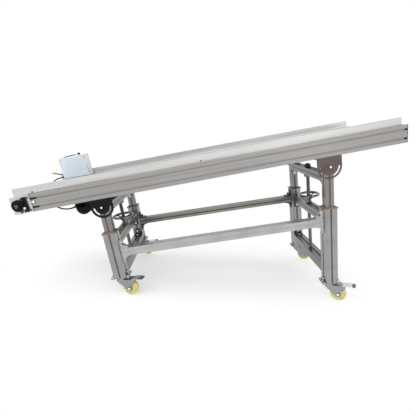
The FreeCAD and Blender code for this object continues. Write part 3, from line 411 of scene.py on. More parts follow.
# A turned form about Z. Each row is (radius, height); a radius may be a function of the angle.
def lathe(profile, segments=32):
    angle = np.arange(segments) * 2 * np.pi / segments
    rows = []
    for radius, height in profile:
        r = radius(angle) if callable(radius) else np.full(segments, float(radius))
        rows.append(np.stack([r * np.cos(angle), r * np.sin(angle), np.full(segments, float(height))], 1))
    count = len(rows)
    faces = gridFaces(count, segments, True)
    faces.append(tuple(reversed(range(segments))))
    faces.append(tuple(range((count - 1) * segments, count * segments)))
    return np.concatenate(rows), faces


# Radius of a hexagon by angle: half its width across flats over the cosine of the angle to the nearest flat.
def hexagon(flats):
    return lambda angle: flats / 2 / np.cos((angle + np.pi / 6) % (np.pi / 3) - np.pi / 6)


# A plain block between two corners.
def block(low, high):
    (x0, y0, z0), (x1, y1, z1) = low, high
    points = np.array([(x, y, z) for x in (x0, x1) for y in (y0, y1) for z in (z0, z1)], float)
    return points, [(0, 1, 3, 2), (4, 6, 7, 5), (0, 4, 5, 1), (2, 3, 7, 6), (0, 2, 6, 4), (1, 5, 7, 3)]


# A bent flat bar: a path in X and Z, moved half a thickness both ways along its normal, and a width in Y
# at each point.
def strip(path, widths, thickness):
    path = np.array(path, float)
    along = np.gradient(path, axis=0)
    along /= np.linalg.norm(along, axis=1)[:, None]
    normal = np.stack([-along[:, 1], along[:, 0]], 1) * thickness / 2
    half = np.array(widths, float) / 2
    upper, lower = path + normal, path - normal
    corners = ((upper, -half), (upper, half), (lower, half), (lower, -half))
    rows = np.stack([np.stack([edge[:, 0], y, edge[:, 1]], 1) for edge, y in corners], 1)
    count = len(rows)
    faces = gridFaces(count, 4, True) + [(3, 2, 1, 0), tuple(range(count * 4 - 4, count * 4))]
    return rows.reshape(-1, 3), faces


# A turn that brings Z to a direction.
def facing(direction):
    z = np.array(direction, float) / np.linalg.norm(direction)
    x = np.cross((0, 1, 0) if abs(z[1]) < 0.9 else (1, 0, 0), z)
    x /= np.linalg.norm(x)
    return np.stack([x, np.cross(z, x), z], 1)


# A form moved to a place in a frame, its own Z along a direction there.
def put(form, where, place=(0, 0, 0), direction=(0, 0, 1)):
    points, faces = form
    turn, origin = within(where, place, facing(direction))
    return points @ turn.T + origin, faces


edgeSizes = {"smoothTo": 35, "bevelFrom": 40, "bevelSegments": 3}  # angles in degrees


# One object from several (form, material) pairs, riding on a body.
def addPiece(name, body, parts, replaces=(), bevel=0.0):
    points, faces, indices, materials = [], [], [], []
    for (some, these), material in parts:
        shift = sum(len(p) for p in points)
        points.append(some)
        faces += [tuple(i + shift for i in face) for face in these]
        if material not in materials:
            materials.append(material)
        indices += [materials.index(material)] * len(these)
    mesh = bpy.data.meshes.new(name)
    mesh.from_pydata((np.concatenate(points) / 1000).tolist(), [], faces)
    for material in materials:
        mesh.materials.append(material)
    mesh.polygons.foreach_set("material_index", indices)
    mesh.polygons.foreach_set("use_smooth", [True] * len(faces))
    mesh.set_sharp_from_angle(angle=math.radians(edgeSizes["smoothTo"]))
    mesh.update()
    piece = bpy.data.objects.new(name, mesh)
    bpy.context.scene.collection.objects.link(piece)
    if bevel:
        modifier = piece.modifiers.new("edges", "BEVEL")
        modifier.width = bevel / 1000
        modifier.segments = edgeSizes["bevelSegments"]
        modifier.limit_method = "ANGLE"
        modifier.angle_limit = math.radians(edgeSizes["bevelFrom"])
    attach(piece, body)
    if replaces:
        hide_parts(*replaces)
    return piece


# A cap screw's head with a hexagon socket.
def socketHead(radius, height):
    socket = hexagon(radius)
    return lathe([(radius, 0), (radius, height * 0.85), (radius * 0.93, height), (socket, height),
                  (socket, height * 0.45)], 24)


# A hexagon head with a rounded top edge, on a washer if one is given.
def hexHead(flats, height, washer=0.0):
    six = hexagon(flats)
    crown = lambda angle: np.minimum(six(angle), flats * 0.52)
    rows = [(six, 0), (six, height * 0.85), (crown, height)]
    if washer:
        rows = [(washer, 0), (washer, 1.2), (six, 1.2)] + [(r, h + 1.2) for r, h in rows[1:]]
    return lathe(rows, 24)


# Leads

leadSizes = {"diameter": 7, "sleeveLength": 24, "sleeveFoot": 11}
motorExit = (-364.2, 205.7, 55.3)
powerExit = (-364.2, 205.7, 71.3)
motorRoute = [
    motorExit, (-396, 207, 54.5), (-429, 217, 48), (-458, 232, 33), (-471, 245, 7), (-467, 251, -20),
    (-446, 252, -43), (-416, 252, -51.5), (-385, 246, -52), (-361, 222, -56), (-352, 180, -61),
    (-349, 128, -65), (-347, 74, -66), (-345, 20, -65), (-340, -34, -60), (-327, -72, -54),
    (-310, -99, -53), (-289, -119, -59), (-265, -134, -69), (-237, -145, -77), (-208, -152, -79),
    (-183, -157, -75), (-164, -160, -68),
]
powerRoute = [powerExit, (-380, 205.5, 73), (-395, 205, 79), (-408.5, 204.6, 85.3)]


# A round lead as one smooth spline through the deck's frame.
def lead(name, route, node):
    curve = bpy.data.curves.new(name, "CURVE")
    curve.dimensions = "3D"
    curve.bevel_depth = leadSizes["diameter"] / 2000
    curve.bevel_resolution = 4
    curve.resolution_u = 8
    curve.use_fill_caps = True
    spline = curve.splines.new("NURBS")
    spline.points.add(len(route) - 1)
    for point, place in zip(spline.points, route):
        point.co = tuple(pointIn(deck, place)) + (1,)
    spline.order_u = 3
    spline.use_endpoint_u = True
    curve.materials.append(leadRubber)
    piece = bpy.data.objects.new(name, curve)
    bpy.context.scene.collection.objects.link(piece)
    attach(piece, "deck")
    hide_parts(node)
    return piece


motorLead = lead("motorLead", motorRoute, "motor_lead")
powerLead = lead("powerLead", powerRoute, "power_lead")

connectorSizes = {"grip": 6.5, "shell": 9, "length": 26, "prong": 2, "prongLength": 12, "ring": 5, "tilt": 25}


# The connector on the loose lead: ribbed grip, open shell with a ring round it, and three prongs.
def connectorPiece():
    c = connectorSizes
    tip = np.array(powerRoute[-1], float)
    direction = (-math.cos(math.radians(c["tilt"])), 0, math.sin(math.radians(c["tilt"])))
    grip = [(4.0, 0.3), (5.2, 2)]
    for rib in range(4):
        z = 3 + rib * 2.4
        grip += [(c["grip"], z), (c["grip"], z + 1.3), (c["grip"] - 0.9, z + 1.5), (c["grip"] - 0.9, z + 2.2)]
    grip += [(c["grip"], 13)]
    shell = [(c["grip"], 12.9), (c["shell"], 14), (c["shell"], 24), (c["shell"] - 0.8, c["length"]),
             (c["shell"] - 2, c["length"]), (c["shell"] - 2, 20), (1, 20)]
    ring = [(c["shell"] + 0.05, 15.5), (c["shell"] + 0.5, 16), (c["shell"] + 0.5, 18),
            (c["shell"] + 0.05, 18.5)]
    parts = [(put(lathe(grip), deck, tip, direction), beigePlastic),
             (put(lathe(shell), deck, tip, direction), whitePlastic),
             (put(lathe(ring), deck, tip, direction), beigePlastic)]
    prong = [(c["prong"], 19), (c["prong"], c["length"] + c["prongLength"] - 1.5),
             (c["prong"] * 0.45, c["length"] + c["prongLength"])]
    turn, origin = within(deck, tip, facing(direction))
    for index in range(3):
        angle = math.radians(120 * index + 90)
        offset = (c["ring"] * math.cos(angle), c["ring"] * math.sin(angle), 0)
        where = (turn, origin + turn @ np.array(offset))
        parts.append((put(lathe(prong, 16), where), boltSteel))
    return addPiece("leadConnector", "deck", parts, ["lead_connector"])


connector = connectorPiece()


# The tapered strain relief over a lead's first run.
def sleeve(first, second):
    rows = [(leadSizes["sleeveFoot"] / 2, 0)]
    for ring in range(6):
        z = 2 + ring * leadSizes["sleeveLength"] / 6
        r = leadSizes["sleeveFoot"] / 2 - ring * 0.28
        rows += [(r, z), (r, z + 2), (r - 0.35, z + 2.4), (r - 0.35, z + 3.4)]
    direction = np.array(second, float) - np.array(first, float)
    return put(lathe(rows, 24), deck, first, direction)


addPiece("leadSleeves", "deck", [(sleeve(*motorRoute[:2]), blackPlastic),
                                 (sleeve(motorRoute[-1], motorRoute[-2]), blackPlastic)])
print("leads done")

# Handwheels and lift screws

wheelSizes = {"rim": 53, "tube": 7, "height": 47, "discLow": 30, "discHigh": 35, "hub": 17, "disc": 31,
              "bore": 10.15, "arm": 5, "armStart": 20, "drop": 37.5, "gap": 0.3}
screwForm = {"radius": 10, "depth": 1.5, "pitch": 5.0, "steps": 5, "segments": 20, "over": 20,
             "foot": {"low": -182, "high": -345}}


# A ring: the point at angles u round the axis and v round the tube.
def torusForm(radius, tube, height, around=72, across=20):
    u = np.arange(around) * 2 * np.pi / around
    v = np.arange(across) * 2 * np.pi / across
    u, v = np.meshgrid(u, v, indexing="ij")
    r = radius + tube * np.cos(v)
    points = np.stack([r * np.cos(u), r * np.sin(u), height + tube * np.sin(v)], -1).reshape(-1, 3)
    faces = gridFaces(around, across, True)
    last = (around - 1) * across
    faces += [(last + c, last + (c + 1) % across, (c + 1) % across, c) for c in range(across)]
    return points, faces


# A round arm: an ellipse carried from the disc up to the rim, thinned by the sine of the way along.
def armForm(angle, w):
    u = np.linspace(0, 1, 12)[:, None]
    v = (np.arange(16) * 2 * np.pi / 16)[None, :]
    reach = w["armStart"] + (w["rim"] - w["armStart"]) * u
    middle = w["discLow"] + 1 + (w["height"] - w["discLow"] - 1) * (reach / w["rim"])
    half = w["arm"] * (1.12 - 0.34 * np.sin(np.pi * u))
    x = reach + 0 * v
    y = half * np.cos(v)
    z = middle + half * 0.8 * np.sin(v)
    c, s = math.cos(angle), math.sin(angle)
    points = np.stack([x * c - y * s, x * s + y * c, z + 0 * x], -1).reshape(-1, 3)
    return points, gridFaces(12, 16, True)


# A round rim, a hub that steps out to a disc, and three arms from the disc up to the rim.
def handwheel(leg):
    w = wheelSizes
    where = within(stand, (legPlace[leg], 0, postTop[leg] - w["drop"] + w["gap"]))
    hub, disc = w["hub"], w["disc"]
    low, high = w["discLow"], w["discHigh"]
    turned = [(w["bore"], 0), (hub - 1, 0), (hub, 1), (hub, 7), (hub - 2, 9), (hub - 2, 20), (hub - 1, 22),
              (hub, low), (disc - 2, low + 1), (disc, low + 3), (disc - 1, high), (hub + 4, high + 0.6),
              (hub - 3, high - 2), (w["bore"], high - 2), (w["bore"], 0.2)]
    parts = [(put(torusForm(w["rim"], w["tube"], w["height"]), where), wheelChrome),
             (put(lathe(turned, 56), where), wheelChrome)]
    for turn in (30, 150, 270):
        parts.append((put(armForm(math.radians(turn), w), where), wheelChrome))
    return addPiece(leg + "Handwheel", leg + "_handwheel", parts, [leg + "_handwheel"])


# A rod whose radius follows a zigzag of the height less the turn, so that it winds as a thread, with its nut
# above the crossbar and flange below.
def liftScrew(leg):
    s = screwForm
    pitch, segments = s["pitch"], s["segments"]
    barTop = topBar(leg) + barHalf
    z = np.arange(s["foot"][leg], barTop + s["over"], pitch / s["steps"])[:, None]
    angle = (np.arange(segments) * 2 * np.pi / segments)[None, :]
    wave = np.abs(((z / pitch - angle / (2 * np.pi)) % 1) * 2 - 1)
    r = s["radius"] - s["depth"] * wave
    points = np.stack([r * np.cos(angle), r * np.sin(angle), z + 0 * angle], -1).reshape(-1, 3)
    faces = gridFaces(len(z), segments, True)
    faces += [tuple(reversed(range(segments))), tuple(range((len(z) - 1) * segments, len(z) * segments))]
    where = within(stand, (legPlace[leg], 0, 0))
    nut = hexHead(29, 15)
    flange = lathe([(s["radius"], -14), (18, -14), (21, -11), (21, -3), (19, 0), (s["radius"], 0)], 40)
    parts = [((points @ where[0].T + where[1], faces), screwSteel),
             (put(nut, where, (0, 0, barTop)), blackScrew),
             (put(flange, where, (0, 0, barTop - 2 * barHalf)), castAluminium)]
    return addPiece(leg + "LiftScrew", leg + "_lift", parts, [leg + "_lift_screw"])


for leg in ("low", "high"):
    handwheel(leg)
    liftScrew(leg)
print("handwheels and screws done")

# Casters

casterSizes = {"radius": 40, "half": 14, "trail": 40, "drop": 68, "bore": 5.1, "axle": 19.5}


# Tyre, dished hub disc and white centre, all turned about the axle.
def wheelPiece(leg, side):
    c = casterSizes
    name = leg + "_" + side
    where = within(casterFrame(leg, side), (c["trail"], 0, -c["drop"]), facing((0, 1, 0)))
    h = c["half"]
    r = c["radius"]
    bore = c["bore"]
    tyre = [(r - 10, -h + 1.5), (r - 8, -h), (r - 3.5, -h), (r - 1.2, -7.7), (r, -2.8), (r, 2.8),
            (r - 1.2, 7.7), (r - 3.5, h), (r - 8, h), (r - 10, h - 1.5)]
    web = [(bore, -h + 2), (16, -h + 2), (17, -h + 5), (r - 12, -h + 5), (r - 10.5, -h + 1.2),
           (r - 9.8, -h + 1.2), (r - 9.8, h - 1.2), (r - 10.5, h - 1.2), (r - 12, h - 5), (17, h - 5),
           (16, h - 2), (bore, h - 2)]
    boss = [(bore, -h - 1), (11, -h - 1), (12.5, -h + 0.5), (12.5, h - 0.5), (11, h + 1), (bore, h + 1)]
    parts = [(put(lathe(tyre, 64), where), polyurethane), (put(lathe(web, 48), where), hubPlastic),
             (put(lathe(boss, 36), where), whitePlastic)]
    return addPiece(leg + side.title() + "Wheel", name + "_roller", parts, [name + "_wheel"])


# Ball race, axle washers and heads, and the bent pedal with its pad, of one caster.
def casterTrim(leg, side):
    c = casterSizes
    name = leg + "_" + side
    where = casterFrame(leg, side)
    race = lathe([(16, -18.4), (22, -18.4), (23.4, -15), (23.4, -12.5), (21.6, -11.6), (21.6, -10.6),
                  (23.4, -9.6), (23.6, -7), (22, -4.4), (10, -4.4)], 40)
    parts = [(put(race, where), zincSteel)]
    for sign in (-1, 1):
        washer = lathe([(10, 0), (10, 1.2), (5, 1.6)], 28)
        head = lathe([(6.5, 1), (6.5, 4), (5, 5.2)], 24)
        for form, material in ((washer, darkBoss), (head, whitePlastic)):
            place = (c["trail"], sign * c["axle"], -c["drop"])
            parts.append((put(form, where, place, (0, sign, 0)), material))
    path = [(62, -16.8), (74, -16.6), (84, -16), (96, -15), (110, -16.4), (121.5, -17.4)]
    widths = [36, 38, 40, 40, 39, 34]
    parts.append((put(strip(path, widths, 2.8), where), boltSteel))
    pad = strip([(107, -14.2), (114, -14.8), (121.8, -15.8)], [33, 33, 30], 2.4)
    parts.append((put(pad, where), hubPlastic))
    return addPiece(leg + side.title() + "CasterTrim", name + "_swivel", parts,
                    [name + "_pedal"], bevel=0.5)


for leg in ("low", "high"):
    for side in ("near", "far"):
        wheelPiece(leg, side)
        casterTrim(leg, side)
print("casters done")

# Gear motor

motorSizes = {"place": -121, "drop": -77, "radius": 34, "near": -200, "length": 130, "gearbox": 66,
              "gearboxLength": 80, "top": -43, "vents": 12, "grooves": 7, "flangeHalf": 32, "shaft": 272}


# A can with cooling grooves and a ring of ribs on its near end, a flange, a bolted gearbox, and its shaft.
def motorPiece():
    m = motorSizes
    r = m["radius"]
    can = [(r - 9, 0), (r - 3, 1), (r - 0.6, 4), (r, 8), (r, 14)]
    for groove in range(m["grooves"]):
        y = 20 + groove * 11
        can += [(r, y), (r - 1.6, y + 0.6), (r - 1.6, y + 3), (r, y + 3.6)]
    can += [(r, 108), (r, m["length"] - 9), (r - 2.5, m["length"] - 8), (r - 2.5, m["length"])]
    base = (m["place"], m["near"], m["drop"])
    parts = [(put(lathe(can, 56), deck, base, (0, 1, 0)), motorPaint)]
    for index in range(m["vents"]):
        rib, ribFaces = block((-1.2, 14, 0.4), (1.2, 21, 1.6))
        points = rib @ turnZ(2 * math.pi * index / m["vents"]).T
        points[:, 2] = -points[:, 2]
        parts.append((put((points, ribFaces), deck, base, (0, 1, 0)), blackPlastic))
    half = m["gearbox"] / 2
    start = m["near"] + m["length"]
    end = start + m["gearboxLength"]
    top = m["top"]
    body = block((m["place"] - half, start, m["drop"] - half), (m["place"] + half, end, top))
    parts.append((put(body, deck), motorPaint))
    for x in (-half + 9, half - 9):
        for z in (-half + 9, half - 9):
            place = (m["place"] + x, start + 0.2, m["drop"] + z)
            parts.append((put(socketHead(4.2, 4.5), deck, place, (0, -1, 0)), boltSteel))
    flange = block((m["place"] - m["flangeHalf"], m["near"], m["drop"] + 4),
                   (m["place"] + m["flangeHalf"], m["near"] + 9, top - 0.3))
    parts.append((put(flange, deck), motorPaint))
    shaft = lathe([(7, 0), (7, m["shaft"]), (6, m["shaft"] + 1)], 24)
    parts.append((put(shaft, deck, (m["place"], end, m["drop"]), (0, 1, 0)), boltSteel))
    inlet = lathe([(6.5, 1.2), (6.5, 8), (8, 8.4), (8, 13), (8, 24)], 24)
    parts.append((put(inlet, deck, motorRoute[-1], (1, 0, 0)), blackPlastic))
    return addPiece("gearMotor", "deck", parts, ["gear_motor"], bevel=1.2)


motorPiece()
print("motor done")

# Control box

boxSizes = {"width": 160, "height": 126, "depth": 58, "knob": (38, 29)}


# A lid that stands on the front, its seal and four screws, a side edge, a seam and a dark curved strip along
# the top.
def controlBoxTrim():
    b = boxSizes
    w, h = b["width"] / 2, b["height"]
    lid = block((-w + 2, -2.2, 3), (w - 2, -0.4, h - 3))
    seal = block((-w + 3.2, -0.4, 4.2), (w - 3.2, 0.1, h - 4.2))
    parts = [(put(lid, boxFrame), boxLid), (put(seal, boxFrame), blackPlastic)]
    for x in (-w + 9, w - 9):
        for z in (10, h - 10):
            parts.append((put(socketHead(3, 1.6), boxFrame, (x, -2.2, z), (0, -1, 0)), boltSteel))
    edge = block((w - 0.1, -0.5, 3), (w + 0.5, 3.4, h - 3))
    seam = block((w - 0.1, b["depth"] - 9, 3), (w + 0.3, b["depth"] - 7.4, h - 3))
    parts += [(put(edge, boxFrame), whitePlastic), (put(seam, boxFrame), slotShadeAndSeamGrey)]
    # A dark curved strip along the top of the box.
    darkTopCurve = strip([(-46, h - 0.2), (-36, h + 2), (-16, h + 4.2), (8, h + 5.2), (30, h + 4.6)], [4.2] * 5, 4.8)
    parts.append((put(darkTopCurve, boxFrame, (0, 6, 0)), blackPlastic))
    return addPiece("boxTrim", "deck", parts, bevel=0.8)


# A fluted knob with a white mark: its radius ripples with the angle, over a skirt.
def knob():
    flutes = lambda angle: 7.2 + 0.45 * np.cos(12 * angle)
    rows = [(9.2, 0.9), (9.2, 2), (8.2, 3), (flutes, 4), (flutes, 11), (lambda a: flutes(a) - 0.9, 13)]
    mark = block((-0.5, 0.5, 12.8), (0.5, 6.2, 13.2))
    place = boxSizes["knob"] + (boxSizes["height"],)
    parts = [(put(lathe(rows, 72), boxFrame, place), blackPlastic),
             (put(mark, boxFrame, place), whitePlastic)]
    return addPiece("knob", "deck", parts, ["speed_knob"])


controlBoxTrim()
knob()
print("control box done")

# Fasteners and strips

# Screws are (radius, height); bolts are (across flats, height) and, with a washer, its radius.
screwSizes = {"guard": (3.2, 2), "clamp": (3.6, 2.4), "railEnd": (3.6, 2.5), "cover": (3, 2),
              "gusset": (11, 5, 8), "angle": (8, 3.5, 4.6), "plateTop": (10, 4, 6), "plateUnder": (10, 4),
              "pivot": (9.5, 3)}
# Places along the deck, how far a face stands out from its middle, and a rail slot from the rail's middle.
deckPlaces = {"guardFace": 237, "guardScrews": (-305.7, 487), "guardBolts": (1298, 1320), "clamp": -318,
              "clampFace": 266, "railEnd": 1414, "railFace": 258.5, "slot": 20, "plate": -337,
              "plateFace": 275, "shaft": -366, "shaftFace": 286, "coverFace": 298.6}
# The first two cover screws lie past the cover's round end, so they hang in the air beside it.
coverScrews = ((-410, 32), (-410, -36), (-300, 20), (-290, -60), (-210, -6), (-200, -86), (-100, -108),
               (-96, -44))


# Screws of the guards, rail ends, low end and drive cover, all in the deck's frame.
def deckFasteners():
    d = deckPlaces
    parts = []

    def add(form, place, direction, material):
        parts.append((put(form, deck, place, direction), material))

    for side in (-1, 1):
        out = (0, side, 0)
        for x in d["guardScrews"]:
            add(socketHead(*screwSizes["guard"]), (x, side * d["guardFace"], 47), out, blackScrew)
        for x in d["guardBolts"]:
            add(socketHead(*screwSizes["guard"]), (x, side * d["guardFace"], 53), out, whiteBolt)
        for z in (-29, 29):
            add(socketHead(*screwSizes["clamp"]), (d["clamp"], side * d["clampFace"], z), out, blackScrew)
        for z in (-d["slot"], d["slot"]):
            add(socketHead(*screwSizes["railEnd"]), (d["railEnd"], side * d["railFace"], z), out, blackScrew)
        near, far = sorted((side * 258, side * 260.6))
        for z in (-d["slot"], d["slot"]):
            add(block((-309, near, z - 4.6), (-284, far, z + 4.6)), (0, 0, 0), (0, 0, 1), blackPlastic)
        add(hexHead(11, 5), (d["plate"], side * d["plateFace"], -15), out, whiteBolt)
        add(hexHead(9, 4), (d["plate"], side * d["plateFace"], 24), out, blackScrew)
        boss = lathe([(8.5, 0), (9, 1), (9, 1.8), (7, 2.4), (3, 2.5), (3, 1.5)], 28)
        add(boss, (d["shaft"], side * d["shaftFace"], 0), out, darkBoss)
        add(lathe([(3.4, 0), (3.4, 17), (3, 18)], 16), (-310, side * 264, 4), (1, 0, 0), boltSteel)
        add(hexHead(10.5, 5), (-299, side * 264.6, 4), (1, 0, 0), whiteBolt)
        add(lathe([(3.6, 0), (3.6, 9), (2.8, 11)], 16), (-363, side * 272, -26), (0, 0, -1), bluePlastic)
    for x, z in coverScrews:
        add(socketHead(*screwSizes["cover"]), (x, d["coverFace"], z), (0, 1, 0), boltSteel)
    addPiece("deckScrews", "deck", parts)


# Strips: half their width, how far they reach, and their two faces as distances from the middle of a bar, or
# of the deck for the rails. "inside" is how far the upper posts' strips go down into the lower posts.
stripSizes = {"half": 3.9, "postHalf": 3.8, "railDepths": (257.2, 258.6), "railReach": (-283, 1409),
              "beamDepth": 18.4, "thickness": 1.2, "beamReach": (30, 1036), "beamTopReach": (72, 994),
              "middleDepths": (20.9, 22.1), "topDepths": (18.4, 19.6), "lowerReach": 210, "upperReach": 220,
              "inside": {"low": 198, "high": 328}}


# A thin strip in a slot, given by two corners in any order.
def stripBox(low, high, where, material):
    low, high = np.minimum(low, high), np.maximum(low, high)
    return put(block(low, high), where), material


# Dark strips of painted groove shade in the slots of a pair of posts, one on each face and a little below it.
def postSlotShades(x, half, recess, foot, top):
    wide = stripSizes["postHalf"]
    parts = []
    for y in (-halfTrack, halfTrack):
        for side in (-1, 1):
            outer, inner = side * (half - recess), side * (half - recess - 1)
            parts.append(stripBox((x - wide, y + outer, foot), (x + wide, y + inner, top), stand, slotShadeAndSeamGrey))
            parts.append(stripBox((x + outer, y - wide, foot), (x + inner, y + wide, top), stand, slotShadeAndSeamGrey))
    return parts


# Strips in the rails' outer slots and the slots of the stand's bars and posts; the dark ones are painted
# groove shade.
def slotStrips():
    s = stripSizes
    half, wide = s["half"], s["postHalf"]
    parts = []
    for side in (-1, 1):
        inner, outer = (side * depth for depth in s["railDepths"])
        for z in (-deckPlaces["slot"], deckPlaces["slot"]):
            start, end = s["railReach"]
            # Painted groove shade along the rails' outer slots.
            parts.append(stripBox((start, inner, z - half), (end, outer, z + half), deck, railGrooveShade))
    addPiece("railShadeStrips", "deck", parts)
    parts = []
    for side in (-1, 1):
        for face in (-1, 1):
            y = side * halfTrack + face * s["beamDepth"]
            # A pale cover strip on each beam's outer face and painted groove shade on its inner face.
            finish = coverStrip if face == side else slotShadeAndSeamGrey
            start, end = s["beamReach"]
            low, high = (start, y, beamHeight - half), (end, y + face * s["thickness"], beamHeight + half)
            parts.append(stripBox(low, high, stand, finish))
        # A pale cover strip on the near beam's top and painted shade in the far beam's top slot.
        finish = coverStrip if side < 0 else slotShade
        start, end = s["beamTopReach"]
        y = side * halfTrack
        parts.append(stripBox((start, y - half, -86.6), (end, y + half, -85.4), stand, finish))
    reach = s["lowerReach"]
    for leg in ("low", "high"):
        x, top, foot = legPlace[leg], postTop[leg], postFoot[leg]
        for face in (-1, 1):
            inner, outer = (x + face * depth for depth in s["middleDepths"])
            # Painted groove shade in the mid crossbars' side and top slots.
            parts.append(stripBox((inner, -reach, top - 63.9), (outer, reach, top - 56.1), stand, crossSlotShade))
            low, high = (x - wide, face * 22, top - 39.5), (x + wide, face * reach, top - 38.5)
            parts.append(stripBox(low, high, stand, slotShade))
        # Painted groove shade in the bottom crossbar's top slot.
        z = foot + bottomBar[leg]
        parts.append(stripBox((x - wide, -reach, z - 2), (x + wide, reach, z - 1), stand, slotShade))
        parts += postSlotShades(x, 30, 2.5, foot + 2, top - 1)
    addPiece("standCoverAndShadeStrips", "base", parts)
    reach = s["upperReach"]
    for leg in ("low", "high"):
        x, middle = legPlace[leg], topBar(leg)
        parts = postSlotShades(x, 20, 1.5, postTop[leg] - s["inside"][leg], pivotHeight[leg] + 19)
        for face in (-1, 1):
            inner, outer = (x + face * depth for depth in s["topDepths"])
            # Painted groove shade in the top crossbars' side and top slots.
            parts.append(stripBox((inner, -reach, middle - half), (outer, reach, middle + half), stand,
                                  crossSlotShade))
            low, high = (x - wide, face * 18, middle + 18), (x + wide, face * reach, middle + 19)
            parts.append(stripBox(low, high, stand, slotShade))
        addPiece(leg + "BarShadeStrips", leg + "_lift", parts)


# Two bolts in the open middle of a gusset: one on each of its walls.
def gussetBolts(corner, along, up):
    corner, along, up = (np.array(v, float) for v in (corner, along, up))
    head = hexHead(*screwSizes["gusset"])
    return [(put(head, stand, corner + along * 23 + up * 4, up), boltSteel),
            (put(head, stand, corner + along * 4 + up * 23, along), boltSteel)]


# Bolts of the gussets and casters on the stand, and of the gussets and pivots on the lifts.
def standFasteners():
    base = []
    for x, sense in ((30, 1), (1036, -1)):
        for side in (-1, 1):
            for up in (-1, 1):
                corner = (x, side * halfTrack, beamHeight + up * barHalf)
                base += gussetBolts(corner, (sense, 0, 0), (0, 0, up))
    angleBolt = hexHead(*screwSizes["angle"])
    topBolt = hexHead(*screwSizes["plateTop"])
    underBolt = hexHead(*screwSizes["plateUnder"])
    for leg in ("low", "high"):
        x = legPlace[leg]
        for side in (-1, 1):
            base += gussetBolts((x, side * 210, postTop[leg] - 82.5), (0, -side, 0), (0, 0, -1))
            base += gussetBolts((x, side * 210, postFoot[leg] + bottomBar[leg]), (0, -side, 0), (0, 0, 1))
            where = within(stand, (x, side * halfTrack, postFoot[leg]))
            for end in (-1, 1):
                base.append((put(angleBolt, where, (end * 37, 0, 4), (0, 0, 1)), boltSteel))
                base.append((put(angleBolt, where, (end * 34, 0, 15), (end, 0, 0)), boltSteel))
                for y in (-24, 24):
                    base.append((put(topBolt, where, (end * 38, y, 0)), boltSteel))
                    base.append((put(underBolt, where, (end * 38, y, -4), (0, 0, -1)), boltSteel))
    addPiece("baseScrews", "base", base)
    for leg in ("low", "high"):
        parts = []
        for side in (-1, 1):
            corner = (legPlace[leg], side * 220, topBar(leg) - barHalf)
            parts += gussetBolts(corner, (0, -side, 0), (0, 0, -1))
            place = (legPlace[leg], side * 271.6, pivotHeight[leg])
            parts.append((put(hexHead(*screwSizes["pivot"]), stand, place, (0, side, 0)), whiteBolt))
        addPiece(leg + "TopBolts", leg + "_lift", parts)


deckFasteners()
slotStrips()
standFasteners()
print("fasteners and strips done")

# Floor, light and world

# In metres. The floor turns white between two reaches of an oval round the middle.
floorSizes = {"half": 14, "drop": 0.001, "oval": (1.0, 0.62, 1), "fade": (0.5, 1.15), "middleWhite": 0.5}
lampSizes = {"keyLight": ((-1.6, -2.4, 3.2), 2.2, 70), "fillLight": ((0.9, -3.2, 2.4), 2.6, 22),
             "topLight": ((0.0, 0.5, 3.6), 3.0, 70)}  # place, width, power
lampAim = (0, 0, 0.45)
skyTones = {"stops": [(0.45, (0.45, 0.45, 0.45)), (0.7, (1, 1, 1))], "strength": 0.75}


# 1 on a ray from the camera, from shiny metal or through glass, 0 on every other ray.
def backgroundRay(tree):
    path = tree.nodes.new("ShaderNodeLightPath")
    value = path.outputs["Is Camera Ray"]
    for name in ("Is Glossy Ray", "Is Transmission Ray"):
        node = tree.nodes.new("ShaderNodeMath")
        node.operation = "MAXIMUM"
        tree.links.new(value, node.inputs[0])
        tree.links.new(path.outputs[name], node.inputs[1])
        value = node.outputs["Value"]
    return value


# Two shaders mixed by a factor.
def shader(tree, factor, one, two):
    node = tree.nodes.new("ShaderNodeMixShader")
    tree.links.new(factor, node.inputs["Fac"])
    tree.links.new(one, node.inputs[1])
    tree.links.new(two, node.inputs[2])
    return node.outputs["Shader"]


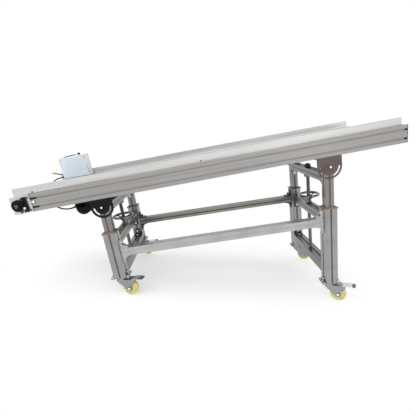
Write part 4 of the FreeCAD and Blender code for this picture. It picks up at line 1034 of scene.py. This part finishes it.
# A pale floor that keeps the shadow and turns plain white away from the stand, and three lamps.
def stage():
    half = floorSizes["half"]
    corners = [(-half, -half, 0), (half, -half, 0), (half, half, 0), (-half, half, 0)]
    floor = bpy.data.objects.new("floor", bpy.data.meshes.new("floor"))
    floor.data.from_pydata(corners, [], [(0, 1, 2, 3)])
    paint = Paint("floorPaint", 0.0, 0.8)
    tree = paint.tree
    grain = paint.noise(even(0.8))
    paint.colour(paint.ramp(grain, (0.3, (0.92, 0.92, 0.92)), (0.7, (0.95, 0.95, 0.95))))
    white = tree.nodes.new("ShaderNodeEmission")
    oval = tree.nodes.new("ShaderNodeVectorMath")
    oval.operation = "DIVIDE"
    tree.links.new(paint.coordinates, oval.inputs[0])
    oval.inputs[1].default_value = floorSizes["oval"]
    reach = tree.nodes.new("ShaderNodeVectorMath")
    reach.operation = "LENGTH"
    tree.links.new(oval.outputs["Vector"], reach.inputs[0])
    fade = tree.nodes.new("ShaderNodeMath")
    fade.operation = "MULTIPLY"
    away = ranged(tree, reach.outputs["Value"], *floorSizes["fade"])
    away.node.inputs["To Min"].default_value = floorSizes["middleWhite"]
    tree.links.new(away, fade.inputs[0])
    tree.links.new(backgroundRay(tree), fade.inputs[1])
    whole = shader(tree, fade.outputs["Value"], paint.shader.outputs["BSDF"], white.outputs["Emission"])
    tree.links.new(whole, tree.nodes["Material Output"].inputs["Surface"])
    floor.data.materials.append(paint.material)
    floor.location.z = -floorSizes["drop"]
    bpy.context.scene.collection.objects.link(floor)
    for name, (place, width, power) in lampSizes.items():
        lamp = bpy.data.lights.new(name, "AREA")
        lamp.energy = power
        lamp.size = width
        holder = bpy.data.objects.new(name, lamp)
        bpy.context.scene.collection.objects.link(holder)
        aim = np.array(lampAim) - np.array(place)
        matrix = Matrix([[facing(-aim)[r][c] for c in range(3)] for r in range(3)]).to_4x4()
        holder.matrix_world = Matrix.Translation(place) @ matrix


# White to the camera and in shiny metal; everything else gets a soft sky.
def worldLight():
    sky = bpy.data.worlds.new("studio")
    bpy.context.scene.world = sky
    sky.use_nodes = True
    tree = sky.node_tree
    tree.nodes.clear()
    coordinates = tree.nodes.new("ShaderNodeTexCoord")
    split = tree.nodes.new("ShaderNodeSeparateXYZ")
    tree.links.new(coordinates.outputs["Generated"], split.inputs["Vector"])
    soft = tree.nodes.new("ShaderNodeBackground")
    tones = ramped(tree, ranged(tree, split.outputs["Z"], -1, 1), skyTones["stops"])
    tree.links.new(tones, soft.inputs["Color"])
    soft.inputs["Strength"].default_value = skyTones["strength"]
    white = tree.nodes.new("ShaderNodeBackground")
    white.inputs["Color"].default_value = (1, 1, 1, 1)
    whole = shader(tree, backgroundRay(tree), soft.outputs["Background"], white.outputs["Background"])
    out = tree.nodes.new("ShaderNodeOutputWorld")
    tree.links.new(whole, out.inputs["Surface"])


stage()
worldLight()
print("floor, light and world done")
bpy.context.scene.view_settings.view_transform = "Standard"
